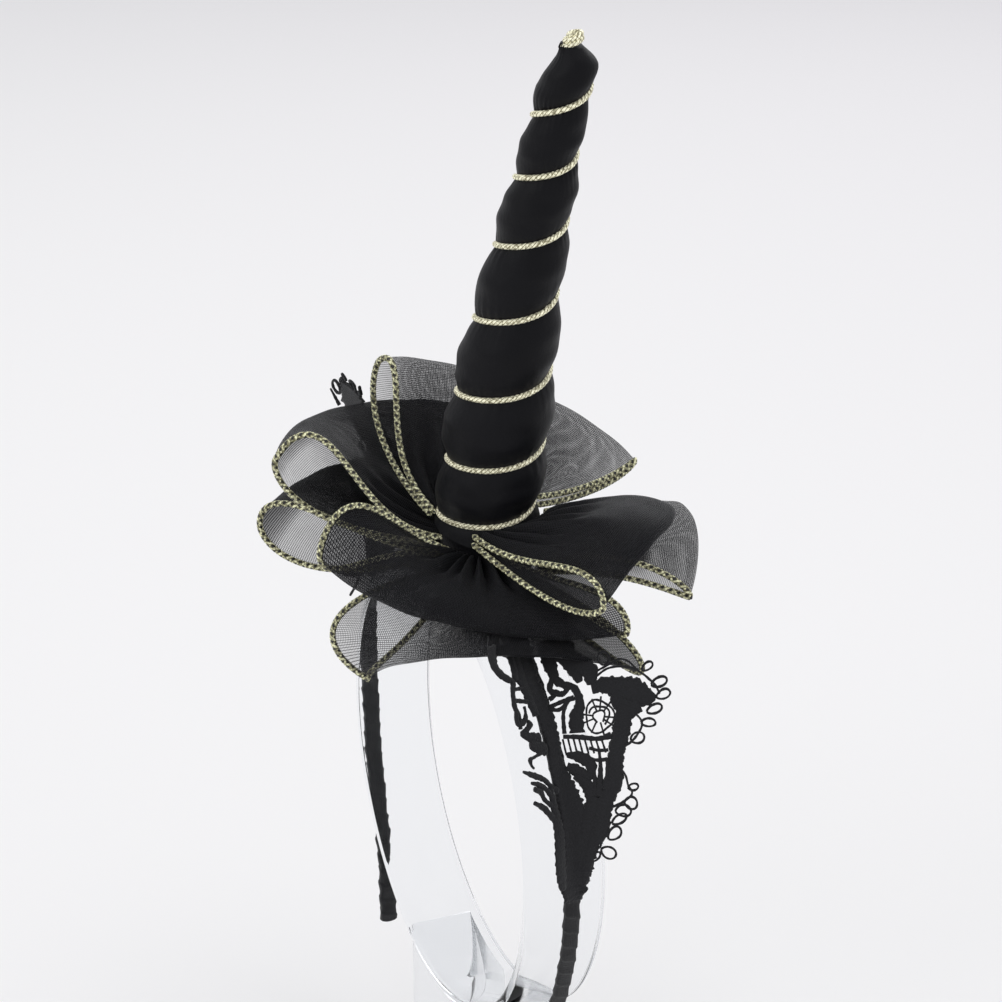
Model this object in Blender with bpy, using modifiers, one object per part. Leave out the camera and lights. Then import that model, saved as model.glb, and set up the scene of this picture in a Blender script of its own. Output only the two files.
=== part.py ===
"""Unicorn horn headband on its clear display stand.

The band is a narrow sprung arch, wrapped in cloth, that sits on a clear ring.
On top of the band a small pad carries a padded spiral horn, and loops of wide
sheer ribbon are gathered to the pad round the horn. Lace is gathered along both
sides of the band below the bow.

X runs from ear to ear, -Y is the front of the head and Z is up. The origin is
the middle of the underside of the stand's base. All lengths are in metres.
"""
import math
from collections import namedtuple

import bmesh
import bpy
import numpy as np
from mathutils import Matrix, Vector

GAP = 0.0003
WELD = 0.00001

# Stand
BASE_SIZE = (0.076, 0.080, 0.005)
BASE_ROUNDING = 0.0012
POST_SIZE = (0.026, 0.018)
POST_OFFSET = -0.012
RING_CENTRE_HEIGHT = 0.118
RING_RADIUS = 0.0622
RING_THICKNESS = 0.0028
RING_WIDTH = 0.022
RING_STEPS = 64

# Headband: it leans over on the ring by BAND_LEAN about the Y axis
BAND_LEAN = math.radians(9.5)
BAND_CENTRE = Vector((-0.006, 0.0, RING_CENTRE_HEIGHT + 0.0005))
BAND_WIDTH = 0.0042
BAND_THICKNESS = 0.0018
BAND_TANGENT_STEP = 0.002

BandRow = namedtuple("BandRow", "half_span height")
BAND_ROWS = (
    BandRow(half_span=0.0, height=0.0666),
    BandRow(half_span=0.026, height=0.0626),
    BandRow(half_span=0.048, height=0.0505),
    BandRow(half_span=0.0635, height=0.034),
    BandRow(half_span=0.0715, height=0.015),
    BandRow(half_span=0.0735, height=-0.002),
    BandRow(half_span=0.072, height=-0.017),
    BandRow(half_span=0.0695, height=-0.028),
    BandRow(half_span=0.066, height=-0.041),
    BandRow(half_span=0.061, height=-0.052),
    BandRow(half_span=0.0555, height=-0.066),
    BandRow(half_span=0.051, height=-0.080),
    BandRow(half_span=0.0485, height=-0.095),
)

# Horn: a padded cone with a spiral groove, and a cord wound into the groove
HORN_BASE = Vector((0.0062, 0.0012, 0.1972))
HORN_TIP = Vector((0.028, 0.0154, 0.3301))
HORN_BOW = 0.0018
HORN_BOW_HEADING = math.radians(248)
HORN_GROOVE_DEPTH = 0.0026
HORN_GROOVE_RADIUS = 0.013
HORN_GROOVE_SHAPE = 0.8
HORN_SIDES = 16
HORN_ROWS_PER_TURN = 6
HORN_WELD = 0.00005
# Height up the horn where the cord passes the groove heading, once in each turn
HORN_GROOVE_HEADING = math.radians(248)
HORN_TURN_HEIGHTS = (0.001, 0.018, 0.0377, 0.0591, 0.0798, 0.0984, 0.1147, 0.1285)

HornRow = namedtuple("HornRow", "height radius")
HORN_ROW_TABLE = (
    HornRow(height=0.0, radius=0.0118),
    HornRow(height=0.012, radius=0.0136),
    HornRow(height=0.030, radius=0.0142),
    HornRow(height=0.052, radius=0.0126),
    HornRow(height=0.074, radius=0.0105),
    HornRow(height=0.092, radius=0.0091),
    HornRow(height=0.110, radius=0.0074),
    HornRow(height=0.124, radius=0.0063),
    HornRow(height=0.132, radius=0.0047),
    HornRow(height=0.1354, radius=0.0030),
)
CORD_RADIUS = 0.00093
CORD_SEAT = 0.0003
CORD_STEPS_PER_TURN = 16
CORD_FIRST_TURN = 0.12
CORD_LAST_TURN = 6.85
TIP_WRAP_RADIUS = 0.0027
TIP_WRAP_TURNS = 2
TIP_WRAP_PITCH = 0.0016
TIP_WRAP_TAPER = 0.18
TIP_WRAP_SIDES = 12

# Pad between the band and the horn, to which the ribbon is sewn
PAD_FOOT_RADIUS = 0.0116
PAD_HEAD_RADIUS = 0.0103
PAD_SIDES = 24

# Ribbon loops: each is one length of wide ribbon, gathered at both ends and
# folded back on itself, so that it opens outwards like a fan. A loop is given at
# its left edge, its middle and its right edge, seen from the bow's centre.
BOW_CENTRE = Vector((0.0075, 0.0020, RING_CENTRE_HEIGHT + 0.077))
RIBBON_WALL = 0.001
PLY_OFFSET = 0.0012
EDGE_CORD_RADIUS = 0.00093
EDGE_CORD_CLEARANCE = 0.0007
LOOP_TEARDROP = 1.3
LOOP_STEPS = 12
LOOP_STRIPS = 6

Root = namedtuple("Root", "height radius")
# Degrees for heading, rise and root_heading, millimetres for the other columns:
# over and under are how far the two plies bulge, arch lifts the middle of both. A
# higher tip_power moves the bulge towards the loop's tip.
Section = namedtuple("Section", "heading rise reach over under arch root_heading")
Loop = namedtuple("Loop", "name root tip_power left middle right")
LOOPS = (
    Loop("back_high", Root(height=5.5, radius=14.6), tip_power=4,
         left=Section(213, 49.6, 53.6, 12.8, 5.8, -9.5, 250),
         middle=Section(154, 26.5, 54, 4, 3, 4, 172),
         right=Section(104.7, 9.2, 50, -0.9, 1.6, -2.4, 100)),
    Loop("back_low", Root(height=-0.9, radius=13), tip_power=3.2,
         left=Section(250.4, 21.8, 59.4, 17.7, 5.3, -5, 264),
         middle=Section(196, 20.5, 57, 3, 2, -5.3, 195),
         right=Section(160, 20, 48, 3, 2.4, -1, 140)),
    Loop("back_under", Root(height=-5.0, radius=13.4), tip_power=2.3,
         left=Section(237, -2.2, 62.2, 11, 7.8, -3.7, 262),
         middle=Section(206, 7, 51, 2.2, 2.6, -3.7, 200),
         right=Section(175, 4, 42, 2.4, 3, -4.2, 150)),
    Loop("front_high", Root(height=-3.0, radius=13), tip_power=3.6,
         left=Section(-85.6, 5.6, 48.5, 14.6, 8.6, 3, -72),
         middle=Section(-28, -19, 36.3, 2.5, 2, 2, -35),
         right=Section(26, -17.3, 48.8, 7.5, 2.2, 1.5, -14)),
    Loop("front_low", Root(height=-8.4, radius=13), tip_power=0.9,
         left=Section(-90, -46.8, 50.1, 20.9, -3.6, -4.8, -80),
         middle=Section(-24, -24.5, 41.5, 1.5, 2, -1.5, -25),
         right=Section(33.2, -30.2, 54.7, 4.2, 2, 0.2, 17)),
    Loop("side_low", Root(height=-7.4, radius=13), tip_power=0.6,
         left=Section(52.2, -12.7, 55.3, 3, 0.2, 3.3, 35),
         middle=Section(82, 1.2, 54, 2.2, 2.5, -2.5, 85),
         right=Section(118, -19, 52, 2.5, 3, 0, 118)),
    Loop("side_high", Root(height=4.2, radius=14.6), tip_power=2.9,
         left=Section(8.3, 1, 55.1, 9.8, 3.7, -2.8, -40),
         middle=Section(39.2, 15.8, 55, 3.5, 2.5, 3, 20),
         right=Section(110, -6, 24, 1.2, 1.2, 0, 72)),
)

# Lace: gathered along the outside of the band. Distances run along the band from
# the top of the arch, and wide and narrow are its two flaps across the band
LACE_WALL = 0.0012
LACE_BAR = 0.0011
LACE_SEAT = 0.0002
LACE_SMALLEST_CELL = 9 * LACE_BAR ** 2
LACE_COLUMNS = 6
LaceRow = namedtuple("LaceRow", "distance wide narrow")
LACE_ROWS = (
    LaceRow(distance=0.040, wide=0.005, narrow=0.014),
    LaceRow(distance=0.047, wide=0.030, narrow=0.0135),
    LaceRow(distance=0.056, wide=0.0235, narrow=0.011),
    LaceRow(distance=0.066, wide=0.0165, narrow=0.009),
    LaceRow(distance=0.077, wide=0.0115, narrow=0.0065),
    LaceRow(distance=0.088, wide=0.006, narrow=0.0045),
    LaceRow(distance=0.098, wide=0.003, narrow=0.0035),
)
# Start is the distance of the lace's upper edge, flare lifts the flaps off the
# band, upright turns the lift of the top from square to the band towards straight
# up, and stretch widens the wide flap
LaceSide = namedtuple("LaceSide", "name side start flare upright stretch")
LACE_SIDES = (
    LaceSide("lace_near", side=1, start=0.0426, flare=28, upright=0.0, stretch=1.0),
    LaceSide("lace_far", side=-1, start=0.047, flare=67, upright=3.0, stretch=1.55),
)
LACE_STEPS = 11
LACE_RUFFLE = 0.0012
LACE_RUFFLES = 3


def clear_scene():
    for item in list(bpy.context.scene.objects):
        bpy.data.objects.remove(item, do_unlink=True)


def new_collection(name):
    collection = bpy.data.collections.new(name)
    bpy.context.scene.collection.children.link(collection)
    return collection


def new_material(name, colour, roughness, metallic=0.0, alpha=1.0, transmission=0.0):
    material = bpy.data.materials.new(name)
    material.use_nodes = True
    shader = material.node_tree.nodes["Principled BSDF"]
    shader.inputs["Base Color"].default_value = (*colour, 1.0)
    shader.inputs["Roughness"].default_value = roughness
    shader.inputs["Metallic"].default_value = metallic
    shader.inputs["Alpha"].default_value = alpha
    shader.inputs["Transmission Weight"].default_value = transmission
    material.diffuse_color = (*colour, 1.0)
    return material


def add_object(name, data, collection, material=None):
    item = bpy.data.objects.new(name, data)
    collection.objects.link(item)
    if material is not None:
        data.materials.append(material)
    return item


def mesh_from_bmesh(name, shape, smooth_angle=35):
    """Turn a bmesh into a mesh with smooth faces and sharp corners."""
    mesh = bpy.data.meshes.new(name)
    shape.to_mesh(mesh)
    shape.free()
    mesh.shade_smooth()
    mesh.set_sharp_from_angle(angle=math.radians(smooth_angle))
    return mesh


def grid_faces(shape, rows, wrap=False):
    """Join rows of vertices into quads; wrap joins each row's end to its start."""
    count = len(rows[0])
    columns = count if wrap else count - 1
    for low, high in zip(rows, rows[1:]):
        for i in range(columns):
            j = (i + 1) % count
            shape.faces.new((low[i], low[j], high[j], high[i]))


def smooth_path(points, per_span):
    """Points on a Catmull-Rom curve through the given points."""
    points = np.array(points, float)
    padded = np.vstack([2 * points[0] - points[1], points, 2 * points[-1] - points[-2]])
    path = []
    for i in range(1, len(padded) - 2):
        before, start, end, after = padded[i - 1:i + 3]
        for k in range(per_span):
            t = k / per_span
            path.append(0.5 * (2 * start + (end - before) * t
                               + (2 * before - 5 * start + 4 * end - after) * t ** 2
                               + (3 * start - before - 3 * end + after) * t ** 3))
    path.append(points[-1])
    return np.array(path)


def solidify(item, thickness, offset=0.0):
    modifier = item.modifiers.new("wall", "SOLIDIFY")
    modifier.thickness = thickness
    modifier.offset = offset
    modifier.use_even_offset = True
    return modifier


def bevel(item, width, segments=1, angle=40):
    modifier = item.modifiers.new("rounded edges", "BEVEL")
    modifier.width = width
    modifier.segments = segments
    modifier.limit_method = "ANGLE"
    modifier.angle_limit = math.radians(angle)
    return modifier


def wire(name, points, radius, collection, material, resolution=1):
    """A round cord through the points, closed at both ends."""
    curve = bpy.data.curves.new(name, "CURVE")
    curve.dimensions = "3D"
    curve.bevel_depth = radius
    curve.bevel_resolution = resolution
    curve.use_fill_caps = True
    spline = curve.splines.new("POLY")
    spline.points.add(len(points) - 1)
    for node, point in zip(spline.points, points):
        node.co = (*point, 1.0)
    return add_object(name, curve, collection, material)


def build_base(collection, material):
    """The stand's flat foot."""
    shape = bmesh.new()
    bmesh.ops.create_cube(shape, size=1.0)
    bmesh.ops.scale(shape, vec=BASE_SIZE, verts=shape.verts)
    mesh = mesh_from_bmesh("stand_base", shape)
    base = add_object("stand_base", mesh, collection, material)
    base.location.z = BASE_SIZE[2] / 2
    bevel(base, BASE_ROUNDING)
    return base


def build_post(collection, cutters, material):
    """The upright block, with its top hollowed to seat the ring."""
    foot = BASE_SIZE[2] + GAP
    outer = RING_RADIUS + RING_THICKNESS / 2
    saddle = outer + GAP
    reach = abs(POST_OFFSET) + POST_SIZE[0] / 2
    corner = math.sqrt(saddle ** 2 - reach ** 2)
    head = RING_CENTRE_HEIGHT - corner
    shape = bmesh.new()
    bmesh.ops.create_cube(shape, size=1.0)
    bmesh.ops.scale(shape, vec=(*POST_SIZE, head - foot), verts=shape.verts)
    mesh = mesh_from_bmesh("stand_post", shape)
    post = add_object("stand_post", mesh, collection, material)
    post.location = (POST_OFFSET, 0.0, (head + foot) / 2)

    shape = bmesh.new()
    bmesh.ops.create_cone(shape, cap_ends=True, segments=RING_STEPS * 2, radius1=saddle,
                          radius2=saddle, depth=POST_SIZE[1] * 2)
    cutter = add_object("ring_seat_cutter", mesh_from_bmesh("ring_seat_cutter", shape), cutters)
    cutter.location.z = RING_CENTRE_HEIGHT
    cutter.rotation_euler.x = math.radians(90)
    cutter.hide_render = True
    cutter.display_type = "WIRE"
    cut = post.modifiers.new("ring seat", "BOOLEAN")
    cut.operation = "DIFFERENCE"
    cut.object = cutter
    return post


def build_ring(collection, material):
    """The clear ring: a rectangular section turned about the Y axis."""
    outer = RING_RADIUS + RING_THICKNESS / 2
    inner = RING_RADIUS - RING_THICKNESS / 2
    half = RING_WIDTH / 2
    corners = ((outer, half), (outer, -half), (inner, -half), (inner, half))
    shape = bmesh.new()
    verts = [shape.verts.new((x, 0.0, z)) for x, z in corners]
    for i, vert in enumerate(verts):
        shape.edges.new((vert, verts[(i + 1) % len(verts)]))
    mesh = bpy.data.meshes.new("stand_ring")
    shape.to_mesh(mesh)
    shape.free()
    ring = add_object("stand_ring", mesh, collection, material)
    ring.location.z = RING_CENTRE_HEIGHT
    ring.rotation_euler.x = math.radians(90)
    turn = ring.modifiers.new("turned", "SCREW")
    turn.steps = RING_STEPS
    turn.render_steps = RING_STEPS
    turn.use_merge_vertices = True
    turn.merge_threshold = WELD
    return ring


def band_outline():
    """Half of the arch in the band's own plane, from its top down one leg."""
    half = smooth_path([(row.half_span, row.height) for row in BAND_ROWS], 4)
    half[0] = (0.0, BAND_ROWS[0].height)
    return half


def band_to_world(across, along_y, height):
    """A point in the band's own leaning frame, as a world point."""
    turn = Matrix.Rotation(BAND_LEAN, 3, "Y")
    return BAND_CENTRE + turn @ Vector((across, along_y, height))


def band_station(distance, side):
    """Point and outward direction on the arch, at a distance from its top."""
    half = band_outline()
    steps = np.hypot(*np.diff(half, axis=0).T)
    reached = np.concatenate([[0.0], np.cumsum(steps)])
    across = np.interp(distance, reached, half[:, 0])
    height = np.interp(distance, reached, half[:, 1])
    step = BAND_TANGENT_STEP
    ahead = np.array([np.interp(distance + step, reached, half[:, i]) for i in (0, 1)])
    behind = np.array([np.interp(distance - step, reached, half[:, i]) for i in (0, 1)])
    run, fall = ahead - behind
    out = np.array([-fall, run]) / math.hypot(run, fall)
    turn = Matrix.Rotation(BAND_LEAN, 3, "Y")
    outward = turn @ Vector((side * out[0], 0.0, out[1]))
    return band_to_world(side * across, 0.0, height), outward


def build_headband(collection, material):
    """The sprung band: a flat strip along the arch, wrapped in cloth."""
    half = band_outline()
    arch = [(-x, z) for x, z in half[:0:-1]] + [(x, z) for x, z in half]
    shape = bmesh.new()
    rows = []
    for x, z in arch:
        rows.append([shape.verts.new(band_to_world(x, y, z))
                     for y in (-BAND_WIDTH / 2, BAND_WIDTH / 2)])
    grid_faces(shape, rows)
    mesh = mesh_from_bmesh("headband", shape)
    band = add_object("headband", mesh, collection, material)
    solidify(band, BAND_THICKNESS)
    return band


def horn_axis_point(height):
    """The bowed middle line of the horn."""
    length = (HORN_TIP - HORN_BASE).length
    share = height / length
    bow = HORN_BOW * 4 * share * (1 - share)
    sideways = Vector((math.cos(HORN_BOW_HEADING), math.sin(HORN_BOW_HEADING), 0.0))
    return HORN_BASE.lerp(HORN_TIP, share) + sideways * bow


def horn_frame():
    """Two directions square to the horn; the first one has heading zero."""
    axis = (HORN_TIP - HORN_BASE).normalized()
    first = (Vector((1.0, 0.0, 0.0)) - axis * axis.x).normalized()
    return first, axis.cross(first)


def horn_bulge(height):
    """Radius of the padded roll between two grooves."""
    rows = HORN_ROW_TABLE
    return float(np.interp(height, [row.height for row in rows], [row.radius for row in rows]))


def horn_groove(height):
    """Depth of the groove, less where the horn is thin."""
    return HORN_GROOVE_DEPTH * math.sqrt(horn_bulge(height) / HORN_GROOVE_RADIUS)


def horn_height(turn):
    """Height of the cord at a turn number, with even turns past both ends."""
    last = len(HORN_TURN_HEIGHTS) - 1
    low, high = HORN_TURN_HEIGHTS[0], HORN_TURN_HEIGHTS[-1]
    if turn < 0:
        return low + turn * (HORN_TURN_HEIGHTS[1] - low)
    if turn > last:
        return high + (turn - last) * (high - HORN_TURN_HEIGHTS[-2])
    path = smooth_path([(i, height) for i, height in enumerate(HORN_TURN_HEIGHTS)], 8)
    return float(np.interp(turn, path[:, 0], path[:, 1]))


def horn_point(turn, across, lift=0.0):
    """A point on the horn: turn follows the groove, across runs to the next groove."""
    first, second = horn_frame()
    height = horn_height(turn + across)
    heading = HORN_GROOVE_HEADING + math.tau * turn
    spoke = first * math.cos(heading) + second * math.sin(heading)
    swell = abs(math.sin(math.pi * across)) ** HORN_GROOVE_SHAPE
    radius = horn_bulge(height) - horn_groove(height) * (1 - swell)
    return horn_axis_point(height) + spoke * (radius + lift)


def build_horn(collection, material):
    """The padded horn: rows that follow the spiral groove, cut flat at both ends."""
    per_turn = HORN_ROWS_PER_TURN
    turns = len(HORN_TURN_HEIGHTS) + 1
    shape = bmesh.new()
    rows = []
    for i in range(-2 * per_turn, turns * per_turn + 1):
        row = []
        for k in range(HORN_SIDES):
            around = k / HORN_SIDES
            row.append(shape.verts.new(horn_point(around, i / per_turn)))
        rows.append(row)
    for i in range(len(rows) - 1):
        low, high = rows[i], rows[i + 1]
        for k in range(HORN_SIDES - 1):
            shape.faces.new((low[k], low[k + 1], high[k + 1], high[k]))
        if i + 1 + per_turn < len(rows):
            low_end, high_end = rows[i + per_turn][0], rows[i + 1 + per_turn][0]
            shape.faces.new((low[-1], low_end, high_end, high[-1]))
    axis = (HORN_TIP - HORN_BASE).normalized()
    for place, outward in ((HORN_BASE, -axis), (HORN_TIP, axis)):
        cut = bmesh.ops.bisect_plane(shape, geom=shape.verts[:] + shape.edges[:] + shape.faces[:],
                                     plane_co=place, plane_no=outward, clear_outer=True)
        rim = [edge for edge in cut["geom_cut"] if isinstance(edge, bmesh.types.BMEdge)]
        bmesh.ops.holes_fill(shape, edges=rim)
    bmesh.ops.remove_doubles(shape, verts=shape.verts, dist=HORN_WELD)
    return add_object("horn", mesh_from_bmesh("horn", shape, 60), collection, material)


def build_horn_cord(collection, material):
    """The gold cord in the groove, one helix from the base to the tip."""
    steps = round((CORD_LAST_TURN - CORD_FIRST_TURN) * CORD_STEPS_PER_TURN)
    points = []
    for i in range(steps + 1):
        turn = CORD_FIRST_TURN + (CORD_LAST_TURN - CORD_FIRST_TURN) * i / steps
        points.append(horn_point(turn, 0.0, lift=CORD_RADIUS + CORD_SEAT))
    return wire("horn_cord", points, CORD_RADIUS, collection, material)


def build_tip_wrap(collection, material):
    """The close last turns of the cord on the horn's tip, as one turned piece."""
    height = TIP_WRAP_TURNS * TIP_WRAP_PITCH
    steps = 3 * TIP_WRAP_TURNS
    profile = [(0.0, height)]
    for i in range(steps + 1):
        share = i / steps
        bump = abs(math.sin(math.pi * share * TIP_WRAP_TURNS))
        radius = TIP_WRAP_RADIUS * (1 - TIP_WRAP_TAPER * share) - CORD_RADIUS * (1 - bump) / 2
        profile.append((radius, height * (1 - share)))
    profile.append((0.0, 0.0))
    shape = bmesh.new()
    verts = [shape.verts.new((x, 0.0, z)) for x, z in profile]
    for low, high in zip(verts, verts[1:]):
        shape.edges.new((low, high))
    mesh = bpy.data.meshes.new("horn_tip_wrap")
    shape.to_mesh(mesh)
    shape.free()
    wrap = add_object("horn_tip_wrap", mesh, collection, material)
    axis = (HORN_TIP - HORN_BASE).normalized()
    wrap.location = HORN_TIP + axis * GAP
    wrap.rotation_euler = axis.to_track_quat("Z", "Y").to_euler()
    turn = wrap.modifiers.new("turned", "SCREW")
    turn.steps = TIP_WRAP_SIDES
    turn.render_steps = TIP_WRAP_SIDES
    turn.use_merge_vertices = True
    turn.merge_threshold = WELD
    return wrap


def build_pad(collection, material):
    """The felt pad: flat on the arch below, square to the horn above."""
    foot = BAND_ROWS[0].height + BAND_THICKNESS / 2 + GAP
    first, second = horn_frame()
    axis = (HORN_TIP - HORN_BASE).normalized()
    local = Matrix.Rotation(-BAND_LEAN, 3, "Y") @ (BOW_CENTRE - BAND_CENTRE)
    shape = bmesh.new()
    low = []
    high = []
    for k in range(PAD_SIDES):
        heading = math.tau * k / PAD_SIDES
        x = math.cos(heading)
        y = math.sin(heading)
        low.append(shape.verts.new(band_to_world(local.x + PAD_FOOT_RADIUS * x,
                                                 local.y + PAD_FOOT_RADIUS * y, foot)))
        spoke = (first * x + second * y) * PAD_HEAD_RADIUS
        high.append(shape.verts.new(HORN_BASE - axis * GAP + spoke))
    grid_faces(shape, [low, high], wrap=True)
    shape.faces.new(low[::-1])
    shape.faces.new(high)
    return add_object("base_pad", mesh_from_bmesh("base_pad", shape), collection, material)


def three_point(left, middle, right, share):
    """A value that passes through the left, middle and right values."""
    return (left * (1 - share) * (1 - 2 * share) + middle * 4 * share * (1 - share)
            + right * share * (2 * share - 1))


def polar(heading, rise, reach):
    """A vector from a heading and a rise in degrees and a reach in millimetres."""
    turn = math.radians(heading)
    lift = math.radians(rise)
    return 0.001 * reach * Vector((math.cos(turn) * math.cos(lift),
                                   math.sin(turn) * math.cos(lift), math.sin(lift)))


def loop_point(loop, along, across):
    """A point of a loop: along 0 to 1 goes out and back, across is left to right."""
    values = [three_point(*trio, across) for trio in zip(loop.left, loop.middle, loop.right)]
    here = Section(*values)
    root = BOW_CENTRE + polar(here.root_heading, 0.0, loop.root.radius)
    root.z += 0.001 * loop.root.height
    spine = BOW_CENTRE + polar(here.heading, here.rise, here.reach) - root
    forward = spine.normalized()
    upward = (Vector((0.0, 0.0, 1.0)) - forward * forward.z).normalized()
    turn = math.tau * along
    out = (1 - math.cos(turn)) / 2
    teardrop = LOOP_TEARDROP * math.sin(turn) * math.sin(turn / 2) ** loop.tip_power
    bulge = here.over if along < 0.5 else here.under
    lift = 0.001 * (bulge * teardrop + here.arch * 4 * out * (1 - out))
    return root + spine * out + upward * (lift + PLY_OFFSET * math.cos(turn / 2))


def loop_row(loop, along):
    """One row across the ribbon, drawn in at both ends to clear the edge cords."""
    row = [loop_point(loop, along, k / LOOP_STRIPS) for k in range(LOOP_STRIPS + 1)]
    inset = EDGE_CORD_RADIUS + EDGE_CORD_CLEARANCE
    before = max(along - 0.5 / LOOP_STEPS, 0.0)
    after = min(along + 0.5 / LOOP_STEPS, 1.0)
    for end, beside, across in ((0, 1, 0.0), (-1, -2, 1.0)):
        cord = loop_point(loop, after, across) - loop_point(loop, before, across)
        inward = row[beside] - row[end]
        row[end] = row[end] + (inward - inward.project(cord)).normalized() * inset
    return row


def build_loop(loop, collection, cloth, gold):
    """One loop of ribbon and the cord along each of its two edges."""
    name = "ribbon_loop_" + loop.name
    shape = bmesh.new()
    rows = []
    for i in range(LOOP_STEPS + 1):
        rows.append([shape.verts.new(point) for point in loop_row(loop, i / LOOP_STEPS)])
    grid_faces(shape, rows)
    ribbon = add_object(name, mesh_from_bmesh(name, shape, 80), collection, cloth)
    solidify(ribbon, RIBBON_WALL)
    for side, across in (("left", 0.0), ("right", 1.0)):
        points = [loop_point(loop, i / LOOP_STEPS, across) for i in range(LOOP_STEPS + 1)]
        edge_name = "ribbon_edge_" + loop.name + "_" + side
        wire(edge_name, points, EDGE_CORD_RADIUS, collection, gold)
    return ribbon


def lace_point(distance, share, piece):
    """A point of the lace: share runs from -1, the narrow flap, to 1, the wide one."""
    column = {name: [getattr(row, name) for row in LACE_ROWS] for name in LaceRow._fields}
    flap = "wide" if share > 0 else "narrow"
    reach = abs(share) * float(np.interp(distance, column["distance"], column[flap]))
    if share > 0:
        reach *= piece.stretch
    centre, outward = band_station(distance, piece.side)
    down = (distance - piece.start) / (LACE_ROWS[-1].distance - piece.start)
    rise = (outward + Vector((0.0, 0.0, piece.upright * (1 - down)))).normalized()
    flare = math.radians(piece.flare)
    ruffle = LACE_RUFFLE * (1 + math.sin(math.tau * LACE_RUFFLES * down)) * share ** 2
    seat = BAND_THICKNESS / 2 + GAP + LACE_WALL / 2 / math.cos(flare) + LACE_SEAT
    across = piece.side * math.cos(flare) * reach * (1 if share > 0 else -1)
    lift = math.sin(flare) * reach + ruffle
    return centre + outward * seat + rise * lift + Vector((0.0, across, 0.0))


def build_lace(piece, collection, material):
    """A gathered strip of lace, cut through between its bars, on one leg."""
    length = LACE_ROWS[-1].distance - piece.start
    shape = bmesh.new()
    rows = []
    for i in range(LACE_STEPS + 1):
        distance = piece.start + length * i / LACE_STEPS
        shares = [2 * k / LACE_COLUMNS - 1 for k in range(LACE_COLUMNS + 1)]
        rows.append([shape.verts.new(lace_point(distance, share, piece)) for share in shares])
    grid_faces(shape, rows)
    shape.normal_update()
    cells = [face for face in shape.faces if face.calc_area() > LACE_SMALLEST_CELL]
    bmesh.ops.inset_individual(shape, faces=cells, thickness=LACE_BAR / 2, depth=0.0)
    bmesh.ops.delete(shape, geom=cells, context="FACES_ONLY")
    bmesh.ops.recalc_face_normals(shape, faces=shape.faces)
    lace = add_object(piece.name, mesh_from_bmesh(piece.name, shape), collection, material)
    solidify(lace, LACE_WALL)
    return lace


def main():
    clear_scene()
    parts = new_collection("unicorn_horn_headband")
    cutters = new_collection("cutters")

    clear = new_material("clear_acrylic", (0.93, 0.95, 0.96), 0.04, transmission=1.0)
    wrap = new_material("black_wrap", (0.010, 0.010, 0.011), 0.75)
    felt = new_material("black_felt", (0.008, 0.008, 0.009), 0.95)
    satin = new_material("black_satin", (0.012, 0.012, 0.014), 0.38)
    gold = new_material("pale_gold_cord", (0.83, 0.68, 0.38), 0.34, metallic=0.9)
    organza = new_material("black_organza", (0.020, 0.020, 0.023), 0.5, alpha=0.6)
    lace = new_material("black_lace", (0.009, 0.009, 0.010), 0.8)

    build_base(parts, clear)
    build_post(parts, cutters, clear)
    build_ring(parts, clear)
    build_headband(parts, wrap)
    build_pad(parts, felt)
    build_horn(parts, satin)
    build_horn_cord(parts, gold)
    build_tip_wrap(parts, gold)
    for loop in LOOPS:
        build_loop(loop, parts, organza, gold)
    for piece in LACE_SIDES:
        build_lace(piece, parts, lace)


main()
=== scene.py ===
from math import cos, pi, radians, sin, sqrt, tau

import bmesh
import bpy
import numpy as np
from mathutils import Matrix, Vector


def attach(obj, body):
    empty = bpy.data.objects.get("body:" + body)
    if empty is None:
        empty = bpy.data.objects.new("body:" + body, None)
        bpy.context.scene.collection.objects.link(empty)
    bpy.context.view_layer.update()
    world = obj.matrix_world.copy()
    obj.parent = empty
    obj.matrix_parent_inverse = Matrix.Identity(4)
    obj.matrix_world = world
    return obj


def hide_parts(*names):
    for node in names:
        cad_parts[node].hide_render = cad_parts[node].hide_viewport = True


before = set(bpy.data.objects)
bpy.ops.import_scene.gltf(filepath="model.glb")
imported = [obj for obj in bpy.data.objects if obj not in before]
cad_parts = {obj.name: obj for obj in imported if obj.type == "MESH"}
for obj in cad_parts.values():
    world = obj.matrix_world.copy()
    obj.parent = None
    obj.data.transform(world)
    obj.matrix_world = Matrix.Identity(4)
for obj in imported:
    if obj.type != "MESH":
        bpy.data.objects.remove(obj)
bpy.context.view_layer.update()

scene = bpy.context.scene

# Camera: it stands at the near side, a little in front and above, and its long lens
# fills the picture with the object. The stand's foot is below the picture.
CAMERA_PLACE = (0.648747, -0.262111, 0.505848)
CAMERA_DEGREES = (66.4704, 0, 67.3636)
CAMERA_LENS = 104.19

bpy.ops.object.camera_add(
    location=CAMERA_PLACE, rotation=[radians(angle) for angle in CAMERA_DEGREES])
camera = bpy.context.object
camera.data.lens = CAMERA_LENS
camera.data.clip_start = 0.01
scene.camera = camera
scene.view_settings.view_transform = "Standard"


# Clear ring of the stand: a flat-walled hoop sawn from acrylic tube, polished at its rims
# and glued to the post. Only its rims and a soft reflection show against the pale room.
RING_CENTRE_HEIGHT = 0.118
RING_RADIUS = 0.0622
RING_THICKNESS = 0.0028
RING_WIDTH = 0.022
RING_SIDES = 192
RIM_ROUNDING = 0.00035
ACRYLIC_COLOUR = (0.955, 0.965, 0.975, 1)
ACRYLIC_HAZE = (0.015, 0.06)


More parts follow.
